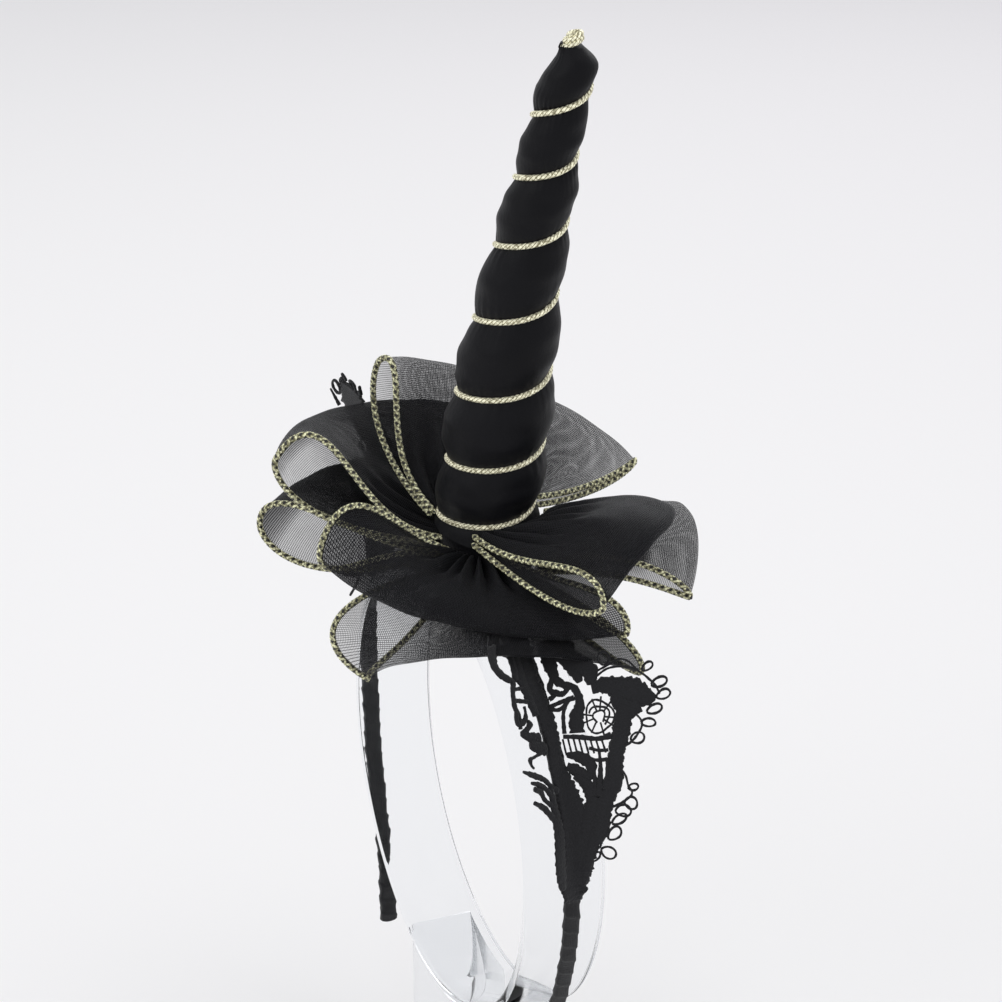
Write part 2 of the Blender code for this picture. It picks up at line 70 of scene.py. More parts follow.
def add_node(near, kind, sockets=None, **settings):
    """Add a shader node in the material of the given node or socket.

    A socket takes a number, a colour or another node's output.
    """
    made = near.id_data.nodes.new("ShaderNode" + kind)
    for name, value in settings.items():
        setattr(made, name, value)
    for socket, value in (sockets or {}).items():
        if isinstance(value, bpy.types.NodeSocket):
            near.id_data.links.new(value, made.inputs[socket])
        else:
            made.inputs[socket].default_value = value
    return made


def calc(operation, *values):
    """The output of a Math node; at least one of the values is another node's output."""
    near = next(value for value in values if isinstance(value, bpy.types.NodeSocket))
    return add_node(near, "Math", dict(enumerate(values)), operation=operation).outputs[0]


def ramp(value, start, end, low=0, high=1, **settings):
    """From low to high as the value goes from start to end, and no further."""
    return add_node(value, "MapRange", {"Value": value, "From Min": start, "From Max": end,
                                        "To Min": low, "To Max": high}, **settings).outputs[0]


def mix_colour(share, low, high):
    """The colour between low and high at a share that varies over the surface."""
    return add_node(share, "Mix", {0: share, 6: low, 7: high}, data_type="RGBA").outputs[2]


def new_material(name, colour, roughness, **sockets):
    """A material and its shader, with the values that don't vary."""
    material = bpy.data.materials.new(name)
    material.use_nodes = True
    shader = material.node_tree.nodes["Principled BSDF"]
    shader.inputs["Base Color"].default_value = colour
    shader.inputs["Roughness"].default_value = roughness
    for socket, value in sockets.items():
        shader.inputs[socket.replace("_", " ")].default_value = value
    return material, shader


def drive(shader, **sockets):
    """Let the outputs of other nodes set the shader's sockets."""
    for socket, output in sockets.items():
        shader.id_data.links.new(output, shader.inputs[socket.replace("_", " ")])


def noise(shader, scale, detail=3):
    """Noise on the piece's own coordinates, at a scale in waves to the metre."""
    place = add_node(shader, "TexCoord").outputs["Object"]
    return add_node(shader, "TexNoise",
                    {"Vector": place, "Scale": scale, "Detail": detail}).outputs["Fac"]


def bump(shader, height, distance, strength=1):
    """Raise the surface by a height from 0 to 1 times a distance in metres."""
    relief = add_node(shader, "Bump", {"Height": height, "Distance": distance,
                                       "Strength": strength})
    drive(shader, Normal=relief.outputs["Normal"])


def round_sharp_edges(width, segments):
    """Bevel every edge of the active piece where the surface turns a sharp corner."""
    bpy.ops.object.mode_set(mode="EDIT")
    bpy.ops.mesh.select_mode(type="EDGE")
    bpy.ops.mesh.select_all(action="DESELECT")
    bpy.ops.mesh.edges_select_sharp(sharpness=radians(50))
    bpy.ops.mesh.bevel(offset=width, segments=segments)
    bpy.ops.object.mode_set(mode="OBJECT")


def settle(name, material):
    """Name the active piece, apply its place, smooth its round faces and dress it."""
    piece = bpy.context.object
    piece.name = name
    bpy.ops.object.transform_apply()
    bpy.ops.object.shade_smooth_by_angle(angle=radians(40))
    piece.data.materials.append(material)
    return piece


clear_acrylic, shader = new_material(
    "clear_acrylic", ACRYLIC_COLOUR, 0.03, IOR=1.12, Transmission_Weight=1)
drive(shader, Roughness=ramp(noise(shader, 90, detail=6), 0, 1, *ACRYLIC_HAZE))
bump(shader, noise(shader, 60), 0.00004, strength=0.5)

bpy.ops.mesh.primitive_cylinder_add(
    vertices=RING_SIDES, radius=RING_RADIUS + RING_THICKNESS / 2, depth=RING_WIDTH,
    location=(0, 0, RING_CENTRE_HEIGHT), rotation=(radians(90), 0, 0))
# The two end faces are drawn in by the wall and joined through the middle
bpy.ops.object.mode_set(mode="EDIT")
bpy.ops.mesh.select_mode(type="FACE")
bpy.ops.mesh.select_face_by_sides(number=4, type="GREATER", extend=False)
bpy.ops.mesh.inset(thickness=RING_THICKNESS)
bpy.ops.mesh.bridge_edge_loops()
round_sharp_edges(RIM_ROUNDING, 2)
ring = settle("clear_ring", clear_acrylic)
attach(ring, "root")
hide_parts("stand_ring")


# Post and foot of the stand: two blocks of cast acrylic, sawn, polished and glued.
# The post's top is hollowed to the ring's curve, and the foot stands on the table.
FOOT_SIZE = (0.076, 0.08, 0.005)
FOOT_ROUNDING = 0.0012
POST_SIZE = (0.026, 0.018)
POST_OFFSET = -0.012
POST_ROUNDING = 0.0005
GAP = 0.0003

seat_radius = RING_RADIUS + RING_THICKNESS / 2 + GAP
post_reach = abs(POST_OFFSET) + POST_SIZE[0] / 2
post_foot = FOOT_SIZE[2] + GAP
post_head = RING_CENTRE_HEIGHT - sqrt(seat_radius ** 2 - post_reach ** 2)
bpy.ops.mesh.primitive_cylinder_add(
    vertices=RING_SIDES, radius=seat_radius, depth=POST_SIZE[1] * 2,
    location=(0, 0, RING_CENTRE_HEIGHT), rotation=(radians(90), 0, 0))
ring_seat = bpy.context.object
bpy.ops.mesh.primitive_cube_add(
    size=1, location=(POST_OFFSET, 0, (post_head + post_foot) / 2),
    scale=(*POST_SIZE, post_head - post_foot))
post = bpy.context.object
bpy.ops.object.transform_apply()
cut = post.modifiers.new("ring seat", "BOOLEAN")
cut.operation = "DIFFERENCE"
cut.object = ring_seat
bpy.ops.object.modifier_apply(modifier=cut.name)
bpy.data.objects.remove(ring_seat)
round_sharp_edges(POST_ROUNDING, 2)
post = settle("clear_post", clear_acrylic)
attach(post, "root")
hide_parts("stand_post")

bpy.ops.mesh.primitive_cube_add(size=1, location=(0, 0, FOOT_SIZE[2] / 2), scale=FOOT_SIZE)
bpy.ops.object.transform_apply()
round_sharp_edges(FOOT_ROUNDING, 4)
foot = settle("clear_foot", clear_acrylic)
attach(foot, "root")
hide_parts("stand_base")


# Headband: a narrow sprung strip, wound all round with black cloth tape whose edge
# shows as a slanting ridge. The last stretch of each leg is wound twice.
BAND_LEAN = radians(9.5)
BAND_CENTRE = np.array((-0.006, 0, RING_CENTRE_HEIGHT + 0.0005))
BAND_WIDTH = 0.0042
BAND_THICKNESS = 0.0018
BAND_HALF_SPANS = (0, 0.026, 0.048, 0.0635, 0.0715, 0.0735, 0.072, 0.0695, 0.066, 0.061,
                   0.0555, 0.051, 0.0485)
BAND_HEIGHTS = (0.0666, 0.0626, 0.0505, 0.034, 0.015, -0.002, -0.017, -0.028, -0.041, -0.052,
                -0.066, -0.08, -0.095)
TANGENT_STEP = 0.002
BAND_ROW_STEP = 0.0004
BAND_SIDES = 28
OVAL_POWER = 0.6
WRAP_PITCH = 0.0048
WRAP_RIDGE = 0.00028
WRAP_OVERLAP = 0.12
WRAP_LUMP = 0.00012
LUMP_WAVES = (900, 410)
SECOND_WRAP_LENGTH = 0.036
SECOND_WRAP_THICKNESS = 0.00042
SECOND_WRAP_EDGE = 0.0006
END_ROUNDING = 0.0009
TAPE_THREAD = 0.0005
WRAP_COLOUR = (0.0075, 0.0075, 0.0082, 1)
WRAP_WORN_COLOUR = (0.026, 0.026, 0.029, 1)


def smooth_path(points, per_span):
    """Points on a Catmull-Rom curve through the given points."""
    points = np.array(points, float)
    padded = np.vstack([2 * points[0] - points[1], points, 2 * points[-1] - points[-2]])
    path = []
    for i in range(1, len(padded) - 2):
        before, start, end, after = padded[i - 1:i + 3]
        for k in range(per_span):
            t = k / per_span
            path.append(0.5 * (2 * start + (end - before) * t
                               + (2 * before - 5 * start + 4 * end - after) * t ** 2
                               + (3 * start - before - 3 * end + after) * t ** 3))
    path.append(points[-1])
    return np.array(path)


def lengths_along(path):
    """The distance of each point of a path from its start."""
    steps = np.linalg.norm(np.diff(path, axis=0), axis=1)
    return np.concatenate([[0], np.cumsum(steps)])


def even_path(path, step):
    """The same path with its points an even step apart, and their distances."""
    reached = lengths_along(path)
    count = max(2, round(reached[-1] / step))
    wanted = np.linspace(0, reached[-1], count + 1)
    return np.stack([np.interp(wanted, reached, path[:, i]) for i in range(3)], 1), wanted


def unit(vectors):
    """Vectors of length one in the same directions."""
    return vectors / np.linalg.norm(vectors, axis=-1, keepdims=True)


def grid_faces(rows, columns, closed):
    """The corners of each face of a grid, and their row and column numbers."""
    around = columns if closed else columns - 1
    i, k = [part.ravel() for part in np.meshgrid(np.arange(rows - 1), np.arange(around),
                                                 indexing="ij")]
    corner_row = np.stack([i, i, i + 1, i + 1], 1)
    corner_column = np.stack([k, k + 1, k + 1, k], 1)
    return corner_row * columns + corner_column % columns, corner_row, corner_column


def skin(name, grids, uvs, closed=True):
    """One smooth piece from grids of points, each with its own grid of UV values.

    A closed grid's rows are rings, capped at both ends, and its UV grid has one more column.
    """
    verts, faces, loops = [], [], []
    start = 0
    for grid, uv in zip(grids, uvs):
        rows, columns = grid.shape[:2]
        quads, corner_row, corner_column = grid_faces(rows, columns, closed)
        verts.append(grid.reshape(-1, 3))
        faces.extend((quads + start).tolist())
        loops.append(uv[corner_row, corner_column].reshape(-1, 2))
        if closed:
            first = start + np.arange(columns)
            faces += [first[::-1].tolist(), (first + (rows - 1) * columns).tolist()]
            loops += [uv[0, :columns][::-1], uv[-1, :columns]]
        start += rows * columns
    mesh = bpy.data.meshes.new(name)
    mesh.from_pydata(np.vstack(verts).tolist(), [], faces)
    layer = mesh.uv_layers.new(name="UVMap")
    layer.uv.foreach_set("vector", np.vstack(loops).astype(np.float32).ravel())
    mesh.shade_smooth()
    piece = bpy.data.objects.new(name, mesh)
    scene.collection.objects.link(piece)
    return piece


def uv_grid(across, along):
    """A grid of UV values from one list for its columns and one for its rows."""
    return np.stack(np.meshgrid(across, along), -1)


def uv_values(shader):
    """The two UV values of the surface."""
    place = add_node(shader, "UVMap").outputs[0]
    return add_node(shader, "SeparateXYZ", {0: place}).outputs[:2]


band_half = smooth_path(list(zip(BAND_HALF_SPANS, BAND_HEIGHTS)), 4)
band_reached = lengths_along(band_half)
band_turn = np.array(Matrix.Rotation(BAND_LEAN, 3, "Y"))


def band_line(distance):
    """Place in the band's own plane at distances from the top of the arch."""
    return np.stack([np.interp(distance, band_reached, band_half[:, i]) for i in (0, 1)], -1)


def band_station(distance, side):
    """Points and outward directions on the arch, at distances from its top."""
    place = band_line(distance)
    run, fall = (band_line(distance + TANGENT_STEP)
                 - band_line(distance - TANGENT_STEP)).T
    still = np.zeros_like(run)
    outward = unit(np.stack([-side * fall, still, run], -1)) @ band_turn.T
    flat = np.stack([side * place[:, 0], still, place[:, 1]], -1)
    return BAND_CENTRE + flat @ band_turn.T, outward


leg_length = band_reached[-1]
leg_rows = np.arange(0, leg_length + BAND_ROW_STEP / 2, BAND_ROW_STEP)
leg_rows[-1] = leg_length
band_run = np.concatenate([-leg_rows[:0:-1], leg_rows])
band_points, band_out = band_station(np.abs(band_run), np.where(band_run < 0, -1, 1))
corner = np.linspace(0, tau, BAND_SIDES, endpoint=False)
# A flat oval section: the cosine and sine are pressed out towards a rectangle
oval_y = np.sign(np.cos(corner)) * np.abs(np.cos(corner)) ** OVAL_POWER
oval_out = np.sign(np.sin(corner)) * np.abs(np.sin(corner)) ** OVAL_POWER
run = band_run[:, None]
winding = (run / WRAP_PITCH + corner / tau) % 1
ridge = WRAP_RIDGE * winding ** 2 * np.clip((1 - winding) / WRAP_OVERLAP, 0, 1)
to_end = leg_length - np.abs(run)
double = np.clip((SECOND_WRAP_LENGTH - to_end) / SECOND_WRAP_EDGE, 0, 1)
lumps = WRAP_LUMP * (np.sin(run * LUMP_WAVES[0] + 3 * np.sin(corner))
                     + np.sin(run * LUMP_WAVES[1] + corner * 2 + 1.3))
swell = ridge + double * SECOND_WRAP_THICKNESS + lumps * (0.4 + 0.6 * double)
end_round = np.sqrt(np.clip(to_end / END_ROUNDING, 0.02, 1))
half_width = (BAND_WIDTH / 2 + swell) * end_round
half_thick = (BAND_THICKNESS / 2 + swell) * end_round
band_grid = band_points[:, None] + (oval_out * half_thick)[..., None] * band_out[:, None]
band_grid[..., 1] += oval_y * half_width
around = np.linspace(0, 2 * (BAND_WIDTH + BAND_THICKNESS), BAND_SIDES + 1)
band = skin("wrapped_headband", [band_grid[:, ::-1]], [uv_grid(around, band_run)])

black_tape, shader = new_material(
    "black_cloth_tape", WRAP_COLOUR, 0.82, Specular_IOR_Level=0.25, Sheen_Weight=0.18,
    Sheen_Roughness=0.5)
across, along = uv_values(shader)
warp, weft = [calc("SINE", calc("MULTIPLY", calc(slant, across, along), tau / TAPE_THREAD))
              for slant in ("ADD", "SUBTRACT")]
tape_weave = calc("MULTIPLY_ADD", calc("MULTIPLY", warp, weft), 0.5, 0.5)
fuzz = noise(shader, 2600, detail=5)
wear = calc("MULTIPLY", fuzz, noise(shader, 140))
drive(shader, Base_Color=mix_colour(wear, WRAP_COLOUR, WRAP_WORN_COLOUR))
bump(shader, calc("ADD", calc("MULTIPLY", tape_weave, 0.4), fuzz), 0.00022)
band.data.materials.append(black_tape)
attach(band, "root")
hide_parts("headband")


# Padded horn: a cone of black satin-faced cloth, stuffed hard, whose spiral rolls
# swell between the turns of the cord that is pulled tight into the groove.
HORN_BASE = np.array((0.0062, 0.0012, 0.1972))
HORN_TIP = np.array((0.0278, 0.0153, 0.3291))
# Bow and radius by height along the axis, and the groove's height at each whole turn
HORN_BOWS = ((0, 0), (0.034, 0.00135), (0.0677, 0.0018), (0.0885, 0.0012), (0.1045, 0.0006),
             (0.1195, 0.0002), (0.1237, -0.0006), (0.129, -0.0015), (0.1315, -0.0014), (0.1345, 0))
GROOVE_HEADING = radians(248)
GROOVE_DEPTH = 0.0026
GROOVE_RADIUS = 0.013
GROOVE_SHAPE = 0.8
TURN_HEIGHTS = (0.0018, 0.018, 0.0377, 0.0591, 0.0798, 0.0984, 0.1152, 0.1332)
HORN_RADII = ((0, 0.0148), (0.012, 0.0139), (0.03, 0.0142), (0.052, 0.0126),
              (0.074, 0.0105), (0.092, 0.0091), (0.11, 0.0076), (0.1195, 0.0072),
              (0.1237, 0.0069), (0.1286, 0.006), (0.1315, 0.0047), (0.1345, 0.0026))
HORN_CLOSING = 0.006
HORN_SIDES = 96
TURN_ROWS = 40
PUCKER_DEPTH = 0.00026
PUCKER_REACH = 0.003
PUCKERS_A_TURN = 33
STUFFING_LUMP = 0.00022
HORN_COLOUR = (0.003, 0.003, 0.0038, 1)
HORN_LIGHT_COLOUR = (0.006, 0.006, 0.0078, 1)
SATIN_ROUGHNESS = (0.4, 0.56)

horn_length = np.linalg.norm(HORN_TIP - HORN_BASE)
horn_axis = (HORN_TIP - HORN_BASE) / horn_length
horn_first = unit((1, 0, 0) - horn_axis * horn_axis[0])
horn_second = np.cross(horn_axis, horn_first)
horn_bow_side = np.array((cos(GROOVE_HEADING), sin(GROOVE_HEADING), 0))
turns = np.array(list(enumerate(TURN_HEIGHTS)), float)
# Past both ends the turns go on evenly
turn_path = np.vstack([4 * turns[0] - 3 * turns[1], smooth_path(turns, 8),
                       4 * turns[-1] - 3 * turns[-2]])
radius_path = smooth_path(HORN_RADII, 8)
bow_path = smooth_path(HORN_BOWS, 8)


def horn_spoke(heading):
    """Directions square to the horn's axis, at headings round it."""
    return horn_first * np.cos(heading)[..., None] + horn_second * np.sin(heading)[..., None]


def horn_point(turn, across, lift=0):
    """Points on the horn: turn follows the groove, across runs to the next groove."""
    height = np.interp(turn + across, *turn_path.T)
    heading = GROOVE_HEADING + tau * turn
    swell = np.abs(np.sin(pi * across)) ** GROOVE_SHAPE
    bulge = np.interp(height, *radius_path.T)
    bow = np.interp(height, *bow_path.T)
    groove = GROOVE_DEPTH * np.sqrt(bulge / GROOVE_RADIUS)
    groove = groove * np.clip((TURN_HEIGHTS[-1] - height) / HORN_CLOSING, 0, 1)
    share = (height / horn_length)[..., None]
    middle = HORN_BASE + (HORN_TIP - HORN_BASE) * share + horn_bow_side * bow[..., None]
    return middle + horn_spoke(heading) * (bulge - groove * (1 - swell) + lift)[..., None]


row_turn = np.arange(-2 * TURN_ROWS, (len(TURN_HEIGHTS) + 1) * TURN_ROWS + 1) / TURN_ROWS
side_turn = np.arange(HORN_SIDES) / HORN_SIDES
across, turn = np.meshgrid(row_turn, side_turn, indexing="ij")
# Puckers run across each roll from the cord, and die away towards the roll's crest
total = turn + across
roll = across - np.floor(across)
pitch = np.gradient(np.interp(row_turn, *turn_path.T), row_turn)[:, None]
from_cord = np.minimum(roll, 1 - roll) * pitch
around_roll = turn + np.floor(across)
pucker = np.sin(tau * PUCKERS_A_TURN * around_roll
                + 2.1 * np.sin(tau * 3.7 * around_roll) + 5 * roll)
pucker = pucker + 0.6 * np.sin(tau * 57 * around_roll
                               + 3 * np.sin(tau * 5 * around_roll))
strength = 0.55 + 0.45 * np.sin(tau * (2.3 * around_roll + 0.2))
detail = PUCKER_DEPTH * pucker * strength * np.exp(-from_cord / PUCKER_REACH)
detail = detail + STUFFING_LUMP * (np.sin(9.1 * total + 7 * roll) * np.sin(13.7 * around_roll)
                                   * np.sin(pi * roll))
horn_grid = horn_point(turn, across, detail)
corner_row, corner_column = grid_faces(len(row_turn), HORN_SIDES, closed=True)[1:]
# A row's last side meets the first side of the row one whole turn higher
corner_row = corner_row + TURN_ROWS * (corner_column == HORN_SIDES)
whole = (corner_row < len(row_turn)).all(1)
faces = corner_row * HORN_SIDES + corner_column % HORN_SIDES
mesh = bpy.data.meshes.new("padded_horn")
mesh.from_pydata(horn_grid.reshape(-1, 3).tolist(), [], faces[whole].tolist())
shape = bmesh.new()
shape.from_mesh(mesh)
for place, outward in ((HORN_BASE, -horn_axis), (HORN_TIP, horn_axis)):
    everything = shape.verts[:] + shape.edges[:] + shape.faces[:]
    cut = bmesh.ops.bisect_plane(shape, geom=everything, plane_co=place, plane_no=outward,
                                 clear_outer=True)
    rim = [edge for edge in cut["geom_cut"] if isinstance(edge, bmesh.types.BMEdge)]
    bmesh.ops.holes_fill(shape, edges=rim)
bmesh.ops.remove_doubles(shape, verts=shape.verts, dist=0.00001)
bmesh.ops.recalc_face_normals(shape, faces=shape.faces)
shape.to_mesh(mesh)
shape.free()
mesh.shade_smooth()
mesh.set_sharp_from_angle(angle=radians(60))
horn = bpy.data.objects.new("padded_horn", mesh)
scene.collection.objects.link(horn)

black_satin, shader = new_material(
    "black_satin", HORN_COLOUR, 0.46, Specular_IOR_Level=0.12, Sheen_Weight=0.03,
    Sheen_Roughness=0.45)
weave = noise(shader, 3800, detail=2)
drift = noise(shader, 70, detail=4)
drive(shader, Base_Color=mix_colour(drift, HORN_COLOUR, HORN_LIGHT_COLOUR),
      Roughness=ramp(drift, 0.3, 0.7, *SATIN_ROUGHNESS))
bump(shader, calc("ADD", weave, calc("MULTIPLY", noise(shader, 420), 2)), 0.00006)
horn.data.materials.append(black_satin)
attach(horn, "root")
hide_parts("horn")


# Gold cord on the horn: a round cord braided from pale metallic thread, sewn in at the
# horn's foot and pulled tight into the groove up to the tip.
CORD_RADIUS = 0.00078
CORD_FIRST_TURN = -0.04
CORD_LAST_TURN = 6.85
CORD = dict(strands=4, lay=0.005, groove=0.34, braid=0.5, sides=20, step=0.00032)
STRAND_POWER = 0.7
# Pale gold at a painted highlight, the painted shade of its grooves, and the colour and strength
# of its painted glow
GOLD_PAINTED_HIGHLIGHT = (1, 0.98, 0.74, 1)
GOLD_PAINTED_SHADE = (0.16, 0.125, 0.03, 1)
GOLD_PAINTED_GLOW_COLOUR = (1, 0.95, 0.72, 1)
GOLD_PAINTED_GLOW = 0.32


def path_frames(path):
    """Two directions square to the path at each point, carried along without twist."""
    ahead = unit(np.gradient(path, axis=0))
    guide = np.array((0, 0, 1) if abs(ahead[0][2]) < 0.9 else (1, 0, 0))
    first = []
    for direction in ahead:
        guide = unit(guide - direction * (guide @ direction))
        first.append(guide)
    first = np.array(first)
    return first, np.cross(ahead, first)


def rope_skin(path, radius, taper, strands, lay, groove, braid, sides, step):
    """A grid of points for a cord, and UV values of strand number and length.

    The braid is the share of its relief that winds the other way.
    """
    path, reached = even_path(path, step)
    first, second = path_frames(path)
    reached = reached[:, None]
    angle = np.linspace(0, tau, sides + 1)
    strand = strands * (angle / tau + reached / lay)
    crossing = strand - 2 * strands * reached / lay
    lobe = ((1 - braid) * np.abs(np.sin(pi * strand)) ** STRAND_POWER
            + braid * np.abs(np.sin(pi * crossing)) ** STRAND_POWER)
    to_end = np.minimum(reached, reached[-1] - reached)
    size = radius * (1 - groove * (1 - lobe)) * np.sqrt(np.clip(to_end / taper, 0.05, 1))
    ring = first[:, None] * np.cos(angle)[:, None] + second[:, None] * np.sin(angle)[:, None]
    grid = path[:, None] + ring * size[..., None]
    uv = np.stack([strand, np.broadcast_to(reached, strand.shape)], -1)
    return grid[:, :-1], uv


def gold_thread(shader, thread, slant, speck, glints, shine):
    """Ridge a cord with fine threads; the output is painted light, from 0 to 1.

    It is how brightly the threads are painted to shine: painted shade in the grooves between
    strands, and painted glints from noise on their crests. The glints are the range of noise
    that they fade in over, and shine is gain and base.
    """
    strand, run = uv_values(shader)
    threads = calc("SINE", calc("MULTIPLY_ADD", run, tau / thread,
                                calc("MULTIPLY", strand, slant)))
    bump(shader, calc("MULTIPLY_ADD", threads, 0.5, 0.5), 0.00012)
    # Painted glow: the cord's emission lifts the metallic thread's sparkle above what the soft
    # lamps of this scene can make
    shader.inputs["Emission Color"].default_value = GOLD_PAINTED_GLOW_COLOUR
    # Painted shade in the grooves between strands, times painted glints from noise
    in_strand = calc("ABSOLUTE", calc("SINE", calc("MULTIPLY", strand, pi)))
    painted_glint = calc("MULTIPLY_ADD", ramp(noise(shader, speck), *glints), *shine)
    return calc("MULTIPLY", ramp(in_strand, 0.05, 0.6), painted_glint)


cord_turn = np.linspace(CORD_FIRST_TURN, CORD_LAST_TURN, 700)
cord_path = horn_point(cord_turn, np.zeros_like(cord_turn),
                       np.full_like(cord_turn, CORD_RADIUS * 0.8))
grid, uv = rope_skin(cord_path, CORD_RADIUS, taper=0.001, **CORD)
horn_cord = skin("gold_cord_on_horn", [grid], [uv])

pale_gold, shader = new_material(
    "pale_gold_cord", GOLD_PAINTED_HIGHLIGHT, 0.28, Metallic=0.7, Specular_IOR_Level=0.8)
painted_light = gold_thread(shader, thread=0.00042, slant=9, speck=1500, glints=(0.38, 0.58),
                  shine=(0.85, 0.25))
# The cord's colour runs from painted shade to painted highlight with the painted light, and it
# glows with it too
drive(shader, Base_Color=mix_colour(painted_light, GOLD_PAINTED_SHADE, GOLD_PAINTED_HIGHLIGHT),
      Emission_Strength=calc("MULTIPLY", painted_light, GOLD_PAINTED_GLOW))
horn_cord.data.materials.append(pale_gold)
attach(horn_cord, "root")
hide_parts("horn_cord")


# Wrap at the horn's tip: the same gold cord taken close round the flat tip and tucked
# in over the top, which closes the end of the cloth.
TIP_WRAP_RADIUS = 0.0023
TIP_WRAP_TURNS = 2.6
TIP_WRAP_LEAN = 0.5
TIP_WRAP_PITCH = 0.0012
TIP_WRAP_START = 0.0002
TIP_WRAP_RISES = 2
TIP_WRAP_CLOSES = 1.4

wrap_turn = np.linspace(0, TIP_WRAP_TURNS, 160)
closing = np.clip((wrap_turn - TIP_WRAP_CLOSES) / (TIP_WRAP_TURNS - TIP_WRAP_CLOSES), 0, 1)
wrap_reach = TIP_WRAP_RADIUS * (1 - 0.16 * np.minimum(wrap_turn, TIP_WRAP_CLOSES))
wrap_reach = wrap_reach * (1 - 0.85 * closing ** 2)
wrap_rise = TIP_WRAP_START + TIP_WRAP_PITCH * np.minimum(wrap_turn, TIP_WRAP_RISES)
wrap_heading = GROOVE_HEADING + tau * (wrap_turn + CORD_LAST_TURN)
wrap_rise = wrap_rise - TIP_WRAP_LEAN * wrap_reach * np.cos(wrap_heading - GROOVE_HEADING)
wrap_path = (HORN_TIP + horn_axis * wrap_rise[:, None]
             + horn_spoke(wrap_heading) * wrap_reach[:, None])
grid, uv = rope_skin(wrap_path, CORD_RADIUS * 0.85, taper=0.0006, **CORD)
tip_wrap = skin("gold_wrap_at_tip", [grid], [uv])
tip_wrap.data.materials.append(pale_gold)
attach(tip_wrap, "root")
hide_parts("horn_tip_wrap")


# Base pad: a small round of black felt glued on top of the band, thick enough to carry
# the horn. The ribbon is sewn to it all round and hides it.
BOW_CENTRE = np.array((0.0075, 0.002, RING_CENTRE_HEIGHT + 0.077))
PAD_RADIUS = 0.0122
PAD_SIDES = 64
PAD_ROWS = 12
FELT_COLOUR = (0.004, 0.004, 0.005, 1)
FELT_FIBRE_COLOUR = (0.008, 0.008, 0.01, 1)

pad_heading = np.linspace(0, tau, PAD_SIDES, endpoint=False)
pad_foot_height = BAND_HEIGHTS[0] + BAND_THICKNESS / 2 + GAP
pad_middle = band_turn.T @ (BOW_CENTRE - BAND_CENTRE)
pad_low = np.stack([pad_middle[0] + PAD_RADIUS * np.cos(pad_heading),
                    pad_middle[1] + PAD_RADIUS * np.sin(pad_heading),
                    np.full_like(pad_heading, pad_foot_height)], -1)
pad_low = BAND_CENTRE + pad_low @ band_turn.T
pad_high = HORN_BASE - horn_axis * GAP + PAD_RADIUS * horn_spoke(pad_heading)
share = np.linspace(0, 1, PAD_ROWS + 1)[:, None, None]
grid = pad_low * (1 - share) + pad_high * share
middle = grid.mean(1, keepdims=True)
grid = middle + (grid - middle) * (1 - 0.1 * (2 * share - 1) ** 8 + 0.012 * np.sin(9 * share))
pad = skin("felt_pad", [grid], [uv_grid(np.linspace(0, 1, PAD_SIDES + 1), share)])
felt, shader = new_material(
    "black_felt", FELT_COLOUR, 0.95, Specular_IOR_Level=0.1, Sheen_Weight=0.08)
fibres = noise(shader, 1800, detail=6)
drive(shader, Base_Color=mix_colour(fibres, FELT_COLOUR, FELT_FIBRE_COLOUR))
bump(shader, fibres, 0.0003)
pad.data.materials.append(felt)
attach(pad, "root")
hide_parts("base_pad")


# Ribbon loops: lengths of sheer black organza ribbon, 80 mm wide. Each is gathered to
# a few millimetres at both ends, folded over on itself and sewn to the pad as a fan.
RIBBON_WIDTH = 0.08
PLY_OFFSET = 0.0012
LOOP_TEARDROP = 1.3
LOOP_ROWS = 110
LOOP_COLUMNS = 120
WEAVE_PITCH = 0.00047
GATHERS = 9
GATHERS_END = 0.6
GATHERS_FADE = 0.35
FOLD_HEIGHT = 0.0009
RIPPLE_HEIGHT = 0.00018
ORGANZA_COLOUR = (0.0065, 0.0065, 0.0078, 1)
THREAD_COLOUR = (0.011, 0.011, 0.013, 1)
